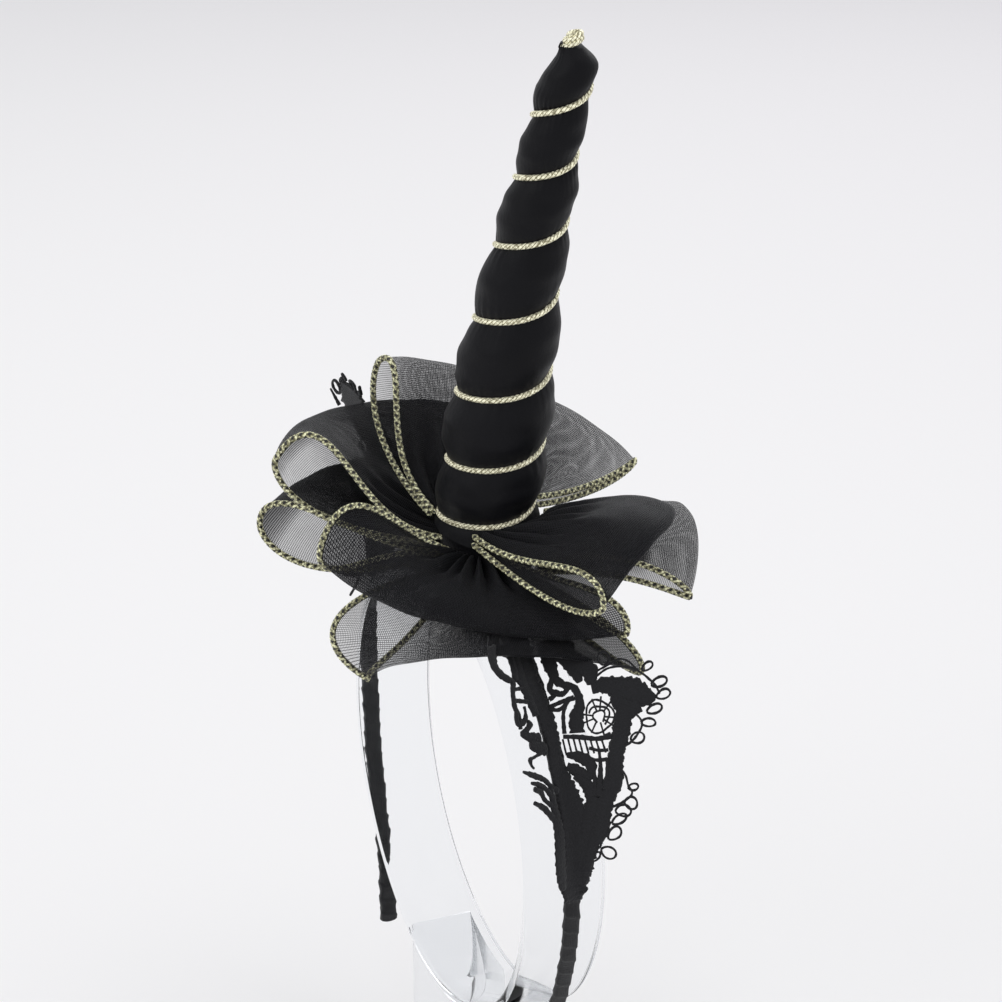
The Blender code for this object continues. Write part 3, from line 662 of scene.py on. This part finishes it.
# Left, middle and right give the heading and rise in degrees, reach, over, under and arch in
# millimetres, and the root's heading in degrees. Root is the root's height and radius in
# millimetres. Narrow draws the loop in towards the root. Upper, lower and fold are how many
# layers thick the cloth looks on each ply and at the fold, which fades in as it goes out.
LOOPS = {
    "back_high": dict(
        root=(5.5, 14.6), narrow=4, folds=2, phase=0.2, fade=(0.5, 0.9),
        upper=(3, 3.2, 2.8, 1.25), lower=(1, 2.2, 2.8, 1.25), fold=(1.1, 1.9, 2, 1.2),
        left=(213, 49.6, 53.6, 12.8, 5.8, -9.5, 250),
        middle=(154, 26.5, 54, 4, 3, 4, 172), right=(104.7, 9.2, 50, -0.9, 1.6, -2.4, 100)),
    "back_low": dict(
        root=(-0.9, 13), narrow=3.2, folds=1.6, phase=0.7, fade=(0.9, 1),
        upper=(4.5, 6.5, 7, 7), lower=(1, 1.2, 5, 5), fold=(4.5, 6.5, 7, 7),
        left=(250.4, 21.8, 59.4, 17.7, 5.3, -5, 264),
        middle=(196, 20.5, 57, 3, 2, -5.3, 195), right=(160, 20, 48, 3, 2.4, -1, 140)),
    "back_under": dict(
        root=(-5, 13.4), narrow=2.3, folds=1.5, phase=0.1, fade=(0.9, 1),
        upper=(5, 6.5, 6, 6), lower=(1, 1.1, 5, 5), fold=(5, 6.5, 6, 6),
        left=(237, -2.2, 62.2, 11, 7.8, -3.7, 262),
        middle=(206, 7, 51, 2.2, 2.6, -3.7, 200), right=(175, 4, 42, 2.4, 3, -4.2, 150)),
    "front_high": dict(
        root=(-3, 13), narrow=3.6, folds=1.8, phase=0.4, fade=(0.8, 1),
        upper=(4.5, 7, 7, 5), lower=(4.5, 6, 7, 4), fold=(4, 6, 7, 5),
        left=(-85.6, 5.6, 48.5, 14.6, 8.6, 3, -72),
        middle=(-28, -19, 36.3, 2.5, 2, 2, -35), right=(26, -17.3, 48.8, 7.5, 2.2, 1.5, -14)),
    "front_low": dict(
        root=(-8.4, 13), narrow=0.9, folds=2, phase=0.9, fade=(0.8, 1),
        upper=(1.4, 1.8, 8, 6), lower=(1, 1.5, 8, 4), fold=(1.2, 1.6, 8, 5),
        left=(-90, -46.8, 50.1, 20.9, -3.6, -4.8, -80),
        middle=(-24, -24.5, 41.5, 1.5, 2, -1.5, -25), right=(33.2, -30.2, 54.7, 4.2, 2, 0.2, 17)),
    "side_low": dict(
        root=(-7.4, 13), narrow=0.6, folds=1.4, phase=0.3, fade=(0.66, 0.7),
        upper=(3.5, 5, 6, 6), lower=(1.2, 4, 6, 6), fold=(1.3, 1.5, 1.6, 1.6),
        left=(52.2, -12.7, 55.3, 3, 0.2, 3.3, 35),
        middle=(82, 1.2, 54, 2.2, 2.5, -2.5, 85), right=(118, -19, 52, 2.5, 3, 0, 118)),
    "side_high": dict(
        root=(4.2, 14.6), narrow=2.9, folds=1.6, phase=0.6, fade=(0.9, 1),
        upper=(5, 7, 7, 7), lower=(5, 7, 7, 7), fold=(4, 7, 7, 7),
        left=(8.3, 1, 55.1, 9.8, 3.7, -2.8, -40),
        middle=(39.2, 15.8, 55, 3.5, 2.5, 3, 20), right=(110, -6, 24, 1.2, 1.2, 0, 72)),
}


def polar(heading, rise, reach):
    """Vectors from headings and rises in degrees and reaches in millimetres."""
    turn, lift = np.radians(heading), np.radians(rise)
    return 0.001 * reach[..., None] * np.stack(
        [np.cos(turn) * np.cos(lift), np.sin(turn) * np.cos(lift), np.sin(lift)], -1)


def loop_surface(loop, along, across):
    """Points of a loop and the direction across its plies: along 0 to 1 goes out and back."""
    left, middle, right = [np.array(loop[name]) for name in ("left", "middle", "right")]
    s = across[..., None]
    here = left * (1 - s) * (1 - 2 * s) + middle * 4 * s * (1 - s) + right * s * (2 * s - 1)
    heading, rise, reach, over, under, arch, root_heading = np.moveaxis(here, -1, 0)
    root_height, root_radius = loop["root"]
    root = BOW_CENTRE + polar(root_heading, 0 * rise, root_radius + 0 * rise)
    root[..., 2] += 0.001 * root_height
    spine = BOW_CENTRE + polar(heading, rise, reach) - root
    forward = unit(spine)
    upward = unit((0, 0, 1) - forward * forward[..., 2:])
    turn = tau * along
    out = (1 - np.cos(turn)) / 2
    teardrop = LOOP_TEARDROP * np.sin(turn) * np.abs(np.sin(turn / 2)) ** loop["narrow"]
    bulge = np.where(along < 0.5, over, under)
    lift = (0.001 * (bulge * teardrop + arch * 4 * out * (1 - out))
            + PLY_OFFSET * np.cos(turn / 2))
    return root + spine * out[..., None] + upward * lift[..., None], upward, out


organza, shader = new_material(
    "black_organza", ORGANZA_COLOUR, 0.55, Specular_IOR_Level=0.13, Sheen_Weight=0.05,
    Sheen_Roughness=0.35)
slub = calc("MULTIPLY_ADD", noise(shader, 260), 0.1, 0.2)
threads = []
for place in uv_values(shader):
    cell = calc("FRACT", calc("DIVIDE", place, WEAVE_PITCH))
    off_middle = calc("ABSOLUTE", calc("SUBTRACT", cell, 0.5))
    edge = calc("SUBTRACT", off_middle, calc("MULTIPLY", slub, 0.5))
    threads.append(ramp(edge, -0.04, 0.06, 1, 0))
woven = calc("MAXIMUM", *threads)
gather = add_node(shader, "Attribute", attribute_name="gather").outputs["Fac"]
open_share = calc("POWER", calc("MULTIPLY_ADD", woven, -0.62, 0.82), gather)
drive(shader, Alpha=calc("SUBTRACT", 1, open_share),
      Base_Color=mix_colour(woven, ORGANZA_COLOUR, THREAD_COLOUR))
bump(shader, woven, 0.00008)

loop_along, loop_across = np.meshgrid(np.linspace(0, 1, LOOP_ROWS + 1),
                                      np.linspace(0, 1, LOOP_COLUMNS + 1), indexing="ij")
beside_edge = 1 - np.abs(2 * loop_across - 1) ** 5
ripples = RIPPLE_HEIGHT * np.sin(tau * (5.3 * loop_across + 2.1 * loop_along)
                                 + 2.5 * np.sin(tau * (1.3 * loop_along + 0.7)))
for name, loop in LOOPS.items():
    plain, upward, out = loop_surface(loop, loop_along, loop_across)
    # Tight gathers take up the ribbon's width near the root, and broad soft folds
    # run out from them along the loop
    row_width = np.linalg.norm(np.diff(plain, axis=1), axis=2).sum(1)[:, None]
    fullness = np.clip(RIBBON_WIDTH / row_width, 1, 4)
    wobble = 0.25 * np.sin(tau * (1.7 * loop_across + loop["phase"]))
    gathers = np.sin(tau * (GATHERS * loop_across + loop["phase"] + wobble))
    gather_height = row_width / GATHERS / 4 * np.sqrt(fullness ** 2 - 1)
    gather_height = gather_height * np.clip((GATHERS_END - out) / GATHERS_FADE, 0, 1)
    folds = np.sin(tau * (loop["folds"] * loop_across + loop["phase"] + wobble))
    folds = FOLD_HEIGHT * folds * np.sin(pi * np.clip(out, 0, 1)) ** 0.8
    offset = (gather_height * gathers + folds + ripples * out) * beside_edge
    grid = plain + upward * offset[..., None]
    reached = np.cumsum(np.linalg.norm(np.diff(grid, axis=0), axis=2), axis=0).mean(1)
    reached = np.concatenate([[0], reached])
    uv = uv_grid(np.linspace(0, RIBBON_WIDTH, LOOP_COLUMNS + 1), reached)
    piece = skin("organza_" + name, [grid], [uv], closed=False)
    columns = (0.03, 0.22, 0.6, 0.97)
    upper, lower, fold = [np.interp(loop_across, columns, loop[key])
                          for key in ("upper", "lower", "fold")]
    low, high = loop["fade"]
    near_fold = np.clip((out - low) / (high - low), 0, 1)
    density = np.where(loop_along < 0.5, upper, lower) * (1 - near_fold) + fold * near_fold
    density = density * np.clip(fullness, 1, 2)
    layer = piece.data.attributes.new("gather", "FLOAT", "POINT")
    layer.data.foreach_set("value", density.astype(np.float32).ravel())
    piece.data.materials.append(organza)
    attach(piece, "root")
    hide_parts("ribbon_loop_" + name)


# Ribbon edges: a cord twisted from gold and black strands, sewn over a fine wire along
# both edges of the ribbon, so that each loop keeps its curve.
EDGE_RADIUS = 0.00088
EDGE = dict(strands=4, lay=0.0044, groove=0.36, braid=0.35, sides=20, step=0.00034)
# The gold strands run from painted shade in their grooves to the gold at a painted highlight, and
# glow with a painted sparkle
EDGE_GOLD = (1, 1, 0.62, 1)
EDGE_GOLD_PAINTED_SHADE = (0.08, 0.068, 0.012, 1)
EDGE_BLACK = (0.01, 0.01, 0.01, 1)
EDGE_METAL = 0.15
EDGE_PAINTED_GLOW = 0.18

edge_cloth, shader = new_material(
    "gold_black_cord", EDGE_GOLD, 0.36, Specular_IOR_Level=0.7)
strand, run = uv_values(shader)
pair = calc("FLOORED_MODULO", strand, 2)
crossing = calc("MULTIPLY_ADD", run, -2 * EDGE["strands"] / EDGE["lay"], strand)
crossing = calc("FLOORED_MODULO", crossing, 2)
is_gold = calc("MAXIMUM", calc("LESS_THAN", pair, 1.15), calc("LESS_THAN", crossing, 0.75))
painted_light = gold_thread(shader, thread=0.0005, slant=8, speck=1600, glints=(0.42, 0.64),
                  shine=(0.95, 0.15))
# Painted light on the gold strands only: painted shade in the grooves, painted glints and a
# painted glow
gold = mix_colour(painted_light, EDGE_GOLD_PAINTED_SHADE, EDGE_GOLD)
drive(shader, Base_Color=mix_colour(is_gold, EDGE_BLACK, gold),
      Metallic=calc("MULTIPLY", is_gold, EDGE_METAL),
      Emission_Strength=calc("MULTIPLY", calc("MULTIPLY", painted_light, is_gold), EDGE_PAINTED_GLOW))

out_and_back = np.linspace(0, 1, 161)
for name, loop in LOOPS.items():
    for side, share in (("left", 0), ("right", 1)):
        path = loop_surface(loop, out_and_back, np.full_like(out_and_back, share))[0]
        grid, uv = rope_skin(path, EDGE_RADIUS, taper=0.001, **EDGE)
        piece = skin("edge_cord_" + name + "_" + side, [grid], [uv])
        piece.data.materials.append(edge_cloth)
        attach(piece, "root")
        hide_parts("ribbon_edge_" + name + "_" + side)


# Lace on both legs: black guipure, thick satin-stitched cords and leaves with bars and a
# spider's web between, and no net behind. It is gathered along the outside of the band.
LACE_WALL = 0.0012
LACE_SEAT = 0.0002
RUFFLE_HEIGHT = 0.0012
RUFFLES = 3
RUFFLE_REACH = 0.015
LACE_END = 0.098
# Flare tilts the strip out from the band, in degrees, and upright turns its top upwards.
# The rest pull the cords out of shape on the far leg, where the fan spreads the free edge.
LACE_SIDES = {
    "near": dict(side=1, start=0.0426, flare=28, upright=0, stretch=1, fan=0,
                 shift=0, broad=1, area=0.0017),
    "far": dict(side=-1, start=0.047, flare=67, upright=3, stretch=1.2, fan=8,
                shift=-0.002, broad=1.2, area=0.0024),
}
LACE_FAN_FROM = 0.056
LACE_KINK = 0.001
# Bends of each stitched cord: distance down the band, reach to the side and half width,
# in millimetres
LACE_CORDS = {
    "trunk": (
        (30, -1, 2.7), (35, -1.9, 3.3), (41, -2.5, 3.3), (47, -2, 3.3), (52.5, -1, 2.7),
        (57.5, -0.8, 2.3), (62, -1.3, 2.4), (66, -1, 2.9), (71.5, 0, 3.5), (76.5, 0.6, 4.3),
        (81.5, 0.8, 5.1), (86.5, 0.5, 4.9), (90.5, -0.5, 4.7), (94.5, -1.2, 4.1), (97, -1, 3.2),
        (98, -1, 2.8)),
    "second_trunk": (
        (33, 7, 2), (36, 7.2, 2), (39, 8.7, 2), (41.3, 11, 2.5), (43.8, 12.9, 2.3),
        (47.3, 12.3, 1)),
    "strip": (
        (32.8, 5, 1.4), (38.7, 4.4, 1.4), (42.3, 4.6, 1.1), (44.9, 6, 1), (46.7, 8.3, 0.9),
        (50.6, 8.6, 1.2), (53.6, 6.9, 1.9), (57.1, 6.2, 1.9)),
    "strip_branch": ((41.7, 4.4, 0.7), (45.1, 2.5, 0.8), (47, 5.3, 0.7), (45.1, 7.8, 0.6)),
    "strip_join": ((49.1, 1.3, 0.6), (48.8, 4.8, 0.6), (48.9, 7.6, 0.8)),
    "leaf": (
        (48.3, 12.2, 1.3), (48.5, 15.1, 1.9), (50, 18.7, 2.4), (51.9, 22.2, 3), (53.6, 25.3, 2.2),
        (54.2, 27.6, 0.8)),
    "leaf_lobe": ((49.5, 18.4, 1.3), (52.6, 17.8, 1.7), (55, 20.2, 2), (54.4, 23.2, 1.9)),
    "rib": (
        (53, 20.5, 2.2), (56.3, 18.6, 2.2), (59.6, 16.7, 2.2), (63.1, 14.3, 1.9), (66.7, 13, 1.9),
        (70.2, 12.3, 2.1), (73.3, 10.1, 2.1), (76.9, 8.1, 2.5), (80.2, 7, 2.4), (83.3, 4.8, 2),
        (87, 3.3, 2), (91.4, 1.9, 2.1), (95.4, 1, 1.2)),
    "rib_fill": ((72.5, 7.2, 1.8), (76.6, 5.1, 2.1), (80.4, 2.7, 2.6)),
    "bar": ((57.1, 2.5, 0.5), (58.2, 6.6, 0.6), (59.6, 10.9, 0.6), (59.6, 14.3, 0.9)),
    "bud": (
        (61.6, 2.3, 0.6), (62.8, 5.3, 1.4), (65, 7.5, 1.4), (67.6, 6.6, 1.1), (65.6, 3.7, 1.5),
        (64.3, 1.7, 1)),
    "inner_leaf": ((66.9, 3, 0.7), (69.1, 5.4, 1.5), (71.5, 6.4, 1.8), (73.6, 6, 1.3)),
    "knob": ((57.8, -9.2, 1.2), (58.7, -6.6, 1.8), (59.4, -3.7, 1.6)),
    "edge_loop": (
        (42, -8.2, 1), (38.5, -7, 1.4), (35, -7.4, 1.5), (34.4, -12.2, 1.4), (37.3, -14.4, 1.6),
        (39.7, -14.2, 1.5), (41.4, -12, 1.3), (42.6, -9.4, 1), (45.8, -11.1, 0.7),
        (49.1, -11.9, 0.9), (51.1, -11, 0.6), (54, -11.4, 0.6)),
    "edge_bar_high": ((44.6, -10.2, 0.5), (43.8, -5.4, 0.5)),
    "edge_bar_low": ((47.4, -11.6, 0.6), (47.4, -5, 0.6)),
    "edge_knots": (
        (50.4, -11.6, 0.8), (52, -12.3, 0.7), (53, -11.6, 0.6), (52, -9, 0.8), (50.2, -8.1, 0.4),
        (48.8, -8, 0.4)),
    "edge_tie": (
        (52.6, -7.2, 1), (54.1, -8.8, 0.8), (55.2, -11.2, 0.7), (56, -9.3, 1.2), (56.6, -5, 1.4)),
    "edge_hook": (
        (59.6, -4.4, 0.7), (60.9, -9, 0.4), (61.4, -10.9, 0.6), (62.7, -11.1, 0.4),
        (63.4, -10.4, 0.3)),
    "edge_tuft_high": (
        (63.8, -15.2, 0.3), (64.9, -11.3, 0.8), (66.3, -7.4, 0.8), (68.3, -5, 0.7),
        (69.6, -2.8, 0.9)),
    "edge_tuft_middle": (
        (66.6, -12.7, 0.4), (67.3, -9.7, 0.7), (68.7, -7.1, 0.7), (71.5, -4.8, 0.9)),
    "edge_tuft_low": ((68, -11.9, 0.6), (69, -9.4, 0.8), (70.8, -8.4, 0.6), (73.2, -5.2, 0.8)),
    "edge_tuft_last": (
        (70.9, -12.5, 0.5), (72.7, -9.1, 0.9), (74.6, -7.1, 0.9), (77.4, -4.1, 1.3)),
    "trunk_left": (
        (33.1, -4.6, 2.2), (37.9, -5.4, 2.3), (42.1, -5.4, 2.3), (46.5, -5, 2), (51, -4.2, 1.4)),
    "trunk_side": (
        (68.3, -5.4, 0.8), (73.2, -5.2, 1.3), (79.4, -4.7, 2.1), (85.6, -5.3, 2.3),
        (90.5, -5.1, 2), (93.6, -4.7, 1.2)),
    "strip_fill": ((32.7, 5, 1.8), (38.3, 4.5, 1.9), (42.3, 4.6, 1.2), (44.8, 5.1, 0.8)),
    "second_fill": ((33.8, 9.4, 2.6), (39.1, 9.4, 2.3), (43.1, 9.8, 1.6), (45.8, 10, 0.8)),
    "strip_edge": ((48.7, 6.5, 0.5), (51.5, 4.1, 0.5), (56.5, 3, 0.6)),
    "strip_tie": ((49.5, 0.9, 0.6), (50.5, 3.3, 0.5), (49.1, 6.2, 0.5)),
    "strip_hook": ((45.7, 4.3, 0.6), (46.8, 3.2, 0.5), (47.2, 1.6, 0.7)),
    "lattice_high": ((61.3, 8.1, 0.4), (62.3, 10.1, 0.4), (62.7, 12.4, 0.4)),
    "lattice_low": ((63.2, 7.1, 0.4), (64.3, 9.1, 0.4), (64.6, 11.5, 0.5)),
    "lattice_post": ((61.8, 10.3, 0.3), (66.9, 9.5, 0.6), (72.6, 8.1, 1.1)),
    "lattice_foot": ((65.8, 7.6, 0.7), (68.2, 7.9, 0.5), (72.5, 6.9, 1.1)),
    "rib_edge": ((64.2, 11.7, 0.5), (68.3, 10.9, 0.6), (71.1, 9.8, 1.1)),
    "edge_corner": ((34.5, -14.3, 0.3), (33.8, -10.5, 0.5), (32.2, -5.3, 0.8)),
    "end_knot": ((94.6, 1.6, 0.6), (95.6, 3, 0.8)),
}
# Plain threads that carry the picots: distance and reach, all of one thickness
LACE_THREAD = 0.28
LACE_THREADS = (
    ((45, 14), (44.4, 18.2), (44, 20.9), (45.1, 22.8), (47.7, 24.4), (49.8, 26.2), (51.8, 28),
     (53.6, 28.8)),
    ((46, 14), (45.2, 17.5), (46, 21.5), (47.6, 24.6)),
    ((56, 21.5), (58.4, 22.7), (60.7, 20.8), (62.1, 18.5), (63, 15.5)),
    ((67.2, 14), (69, 15.2), (71.1, 15.7), (73.1, 16.6), (74.4, 14.4), (75.7, 10)),
)
# Picots: where each leaves the edge, which way it points in degrees, length and width
PICOTS = (
    (44.1, 16.7, 156, 3.6, 3.3), (48, 25.4, 105, 3.2, 1.8), (51.5, 27, 91, 4.2, 1.9),
    (54.1, 27.8, 93, 3.7, 2.3), (56.7, 24.6, 95, 4.1, 1.9), (58.5, 22.4, 80, 3.6, 1.9),
    (61.9, 18.4, 99, 3.6, 2.6), (71.6, 15.6, 86, 2.7, 1.8), (74.7, 14.4, 80, 3.2, 2.8),
    (76.3, 11.8, 86, 3.9, 2.9), (79, 10.4, 112, 4.2, 1.9), (82.4, 9, 128, 3.9, 2.6),
    (84.8, 7, 64, 3.7, 3.1), (84.6, 6, 157, 1.8, 1.4), (87.8, 4.9, 145, 2.8, 1.5),
)
WEB = (54.8, 12.6)
WEB_RINGS = ((1.5, 0.85), (2.5, 0.6), (3.6, 1))
WEB_SPOKES = 9
WEB_SPAN = (1.4, 4.3)
# Rungs side by side, then the reach of the first, and each end's distance and its slope
RUNGS = 8
RUNG_START = 2.2
RUNG_STEP = 1.35
RUNG_ENDS = ((57.2, 0.2), (61.4, 0.15))
RUNG_RADIUS = 0.26
# On the far leg the strip's edge stands up as a tuft, and its last leaf hangs loose
FAR_ENDS = (
    ((50, 8, 4), (52, 22, 5), (52, 33, 6.8), (50.5, 38, 6.6), (49.5, 40, 5.5)),
    ((60.5, 38, 0.6), (60.7, 43.6, 0.25)), ((44.5, 38, 0.8), (42.5, 40.4, 0.4)),
    ((95, 3, 0.8), (98.5, 6, 1), (101, 9.6, 1.1), (103.6, 14.6, 0.4)),
    ((97.5, 5, 0.4), (103, 6.4, 0.4), (107.5, 8.3, 0.4)),
)
FAR_PICOTS = ((57, 40.5, 85, 4.2, 3), (53.5, 40, 95, 3, 2.2), (47.5, 39, 100, 3.4, 3),
              (51, 41.5, 80, 2.2, 0.8))
LACE_STEP = 0.42
LACE_SECTION_SIDES = 8
LACE_HALF_THICKNESS = 0.00055
LACE_COLOUR = (0.0075, 0.0075, 0.008, 1)
LACE_SHEEN_COLOUR = (0.019, 0.019, 0.022, 1)


def lace_surface(strip, distance, reach):
    """Points on a strip of lace and directions out of it; the reach may be negative."""
    side, flare = strip["side"], radians(strip["flare"])
    centre, outward = band_station(distance, side)
    down = np.clip((distance - strip["start"]) / (LACE_END - strip["start"]), 0, 1)
    lean = np.zeros_like(centre)
    lean[:, 2] = strip["upright"] * (1 - down)
    rise = unit(outward + lean)
    free = np.clip(np.abs(reach) / RUFFLE_REACH, 0, 1) ** 2
    ruffle = RUFFLE_HEIGHT * (1 + np.sin(tau * RUFFLES * down)) * free
    seat = BAND_THICKNESS / 2 + GAP + LACE_WALL / 2 / cos(flare) + LACE_SEAT
    points = centre + outward * seat + rise * (sin(flare) * np.abs(reach) + ruffle)[:, None]
    points[:, 1] += side * cos(flare) * reach
    lift = cos(flare) * rise
    lift[:, 1] -= side * sin(flare) * np.clip(reach / LACE_KINK, -1, 1)
    return points, unit(lift)


def spread_lace(strip, path):
    """Cord bends in metres, pulled out of shape as the strip on this leg is."""
    distance, reach, width = np.array(path, float).T * 0.001
    fan = np.maximum(reach, 0) * strip["fan"] * (distance - LACE_FAN_FROM)
    reach = np.where(reach > 0, reach * strip["stretch"], reach)
    return np.stack([distance + fan + strip["shift"], reach, width], 1)


def lace_cord(strip, path):
    """A grid of points for one stitched cord, pressed flat along the lace."""
    path = even_path(smooth_path(path, 6), LACE_STEP * 0.001)[0]
    run = np.arange(len(path)) * LACE_STEP
    heading = unit(np.gradient(path[:, :2], axis=0))
    width = path[:, 2] * (1 + 0.08 * np.sin(run * 2.9) + 0.06 * np.sin(run * 5.3 + 1))
    thick = np.minimum(width, LACE_HALF_THICKNESS)
    angle = np.linspace(0, tau, LACE_SECTION_SIDES, endpoint=False)
    columns = []
    for a in angle:
        beside = width * cos(a)
        points, lift = lace_surface(strip, path[:, 0] - heading[:, 1] * beside,
                                    path[:, 1] + heading[:, 0] * beside)
        columns.append(points + lift * (thick * sin(a))[:, None])
    return np.stack(columns, 1)


def picot(foot, heading, length, width, radius):
    """Bends in metres of a drop of thread, in millimetres, that leaves and meets its foot."""
    turn = np.linspace(0, tau, 13)
    along = length * (1 - np.cos(turn)) / 2
    beside = width / 2 * np.sin(turn) * np.abs(np.sin(turn / 2)) ** 0.3
    ahead = np.array((cos(radians(heading)), sin(radians(heading)), 0))
    square = np.array((-ahead[1], ahead[0], 0))
    drop = along[:, None] * ahead + beside[:, None] * square + (0, 0, radius)
    return (*foot[:2], 0) + 0.001 * drop


def around_web(middle, reach, turn, radius):
    """Bends in metres of a web's thread, at reaches in millimetres and turns round it."""
    return (*middle[:2], 0) + 0.001 * np.stack(
        np.broadcast_arrays(reach * np.cos(turn), reach * np.sin(turn), radius), 1)


black_lace, shader = new_material(
    "black_lace", LACE_COLOUR, 0.8, Specular_IOR_Level=0.25, Sheen_Weight=0.1)
# Painted sheen: the noise that raises the stitches also lightens them in flecks of the sheen
# colour
stitches_and_sheen = noise(shader, 2200, detail=4)
drive(shader, Base_Color=mix_colour(stitches_and_sheen, LACE_COLOUR, LACE_SHEEN_COLOUR))
bump(shader, stitches_and_sheen, 0.0003)

for name, strip in LACE_SIDES.items():
    paths = [spread_lace(strip, path) * (1, 1, strip["broad"]) for path in LACE_CORDS.values()]
    paths += [spread_lace(strip, [(*bend, LACE_THREAD) for bend in path])
              for path in LACE_THREADS]
    for distance, reach, heading, length, width in PICOTS:
        foot = spread_lace(strip, [(distance, reach, 0)])[0]
        paths.append(picot(foot, heading, length, width, LACE_THREAD))
    web = spread_lace(strip, [(*WEB, 0)])[0]
    for spoke in range(WEB_SPOKES):
        turn = tau * (spoke + 0.2 * sin(spoke * 2.3)) / WEB_SPOKES
        paths.append(around_web(web, np.array(WEB_SPAN), turn, 0.8 * LACE_THREAD))
    for radius, share in WEB_RINGS:
        turn = np.linspace(0.4, 0.4 + share * tau, 14)
        paths.append(around_web(web, radius * (1 + 0.12 * np.sin(turn * 3 + radius)), turn,
                                0.9 * LACE_THREAD))
    for rung in range(RUNGS):
        reach = RUNG_START + RUNG_STEP * rung
        paths.append(spread_lace(strip, [(high + slope * reach, reach, RUNG_RADIUS)
                                         for high, slope in RUNG_ENDS]))
    if name == "far":
        paths += [np.array(path) * 0.001 for path in FAR_ENDS]
        paths += [picot(np.array((distance, reach)) * 0.001, heading, length, width,
                        1.4 * LACE_THREAD)
                  for distance, reach, heading, length, width in FAR_PICOTS]
    grids = [lace_cord(strip, path)[:, ::-strip["side"]] for path in paths]
    across = np.linspace(0, 1, LACE_SECTION_SIDES + 1)
    uvs = [uv_grid(across, np.arange(len(grid)) * LACE_STEP) for grid in grids]
    lace = skin("lace_strip_" + name, grids, uvs)
    lace.data.materials.append(black_lace)
    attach(lace, "root")
    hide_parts("lace_" + name)


# Floor and light: a plain pale sweep of paper under and behind the stand, with painted shade
# that darkens it towards the far right as the camera sees it, and large soft lamps on both
# sides, as in a product photograph.
FLOOR_REACH = 6
FLOOR_DROP = 0.0005
FLOOR_COLOUR = (0.915, 0.905, 0.9, 1)
FLOOR_PAINTED_SHADE = (0.76, 0.745, 0.755, 1)

bpy.ops.mesh.primitive_circle_add(vertices=96, radius=FLOOR_REACH, fill_type="NGON")
bpy.context.object.location.z = -FLOOR_DROP
paper, shader = new_material("pale_paper", FLOOR_COLOUR, 0.9, Specular_IOR_Level=0.1)
place = add_node(shader, "TexCoord").outputs["Object"]
place = add_node(shader, "SeparateXYZ", {0: place}).outputs
# Painted shade: the paper darkens towards +y and -x, the far right as the camera sees it
across_floor = calc("MULTIPLY_ADD", place[1], 0.9, calc("MULTIPLY", place[0], -0.35))
shade = ramp(across_floor, 0.1, 1.3, interpolation_type="SMOOTHSTEP")
drive(shader, Base_Color=mix_colour(shade, FLOOR_COLOUR, FLOOR_PAINTED_SHADE))
floor = settle("floor", paper)


def soft_lamp(name, place, size, power):
    """A large square lamp that shines on the horn's foot."""
    bpy.ops.object.light_add(type="AREA", location=place)
    lamp = bpy.context.object
    lamp.name = name
    lamp.data.size = size
    lamp.data.energy = power
    aim = Vector(BOW_CENTRE) - Vector(place)
    lamp.rotation_euler = aim.to_track_quat("-Z", "Y").to_euler()


soft_lamp("lamp_front", (0.3, -1.3, 1), 1, 4)
soft_lamp("lamp_top", (0.2, 0.3, 1.8), 1.4, 6)
soft_lamp("lamp_back", (-1, 0.9, 0.9), 0.9, 3)

world = bpy.data.worlds.new("pale_room")
world.use_nodes = True
background = world.node_tree.nodes["Background"]
background.inputs["Color"].default_value = (0.96, 0.97, 1, 1)
background.inputs["Strength"].default_value = 0.75
scene.world = world
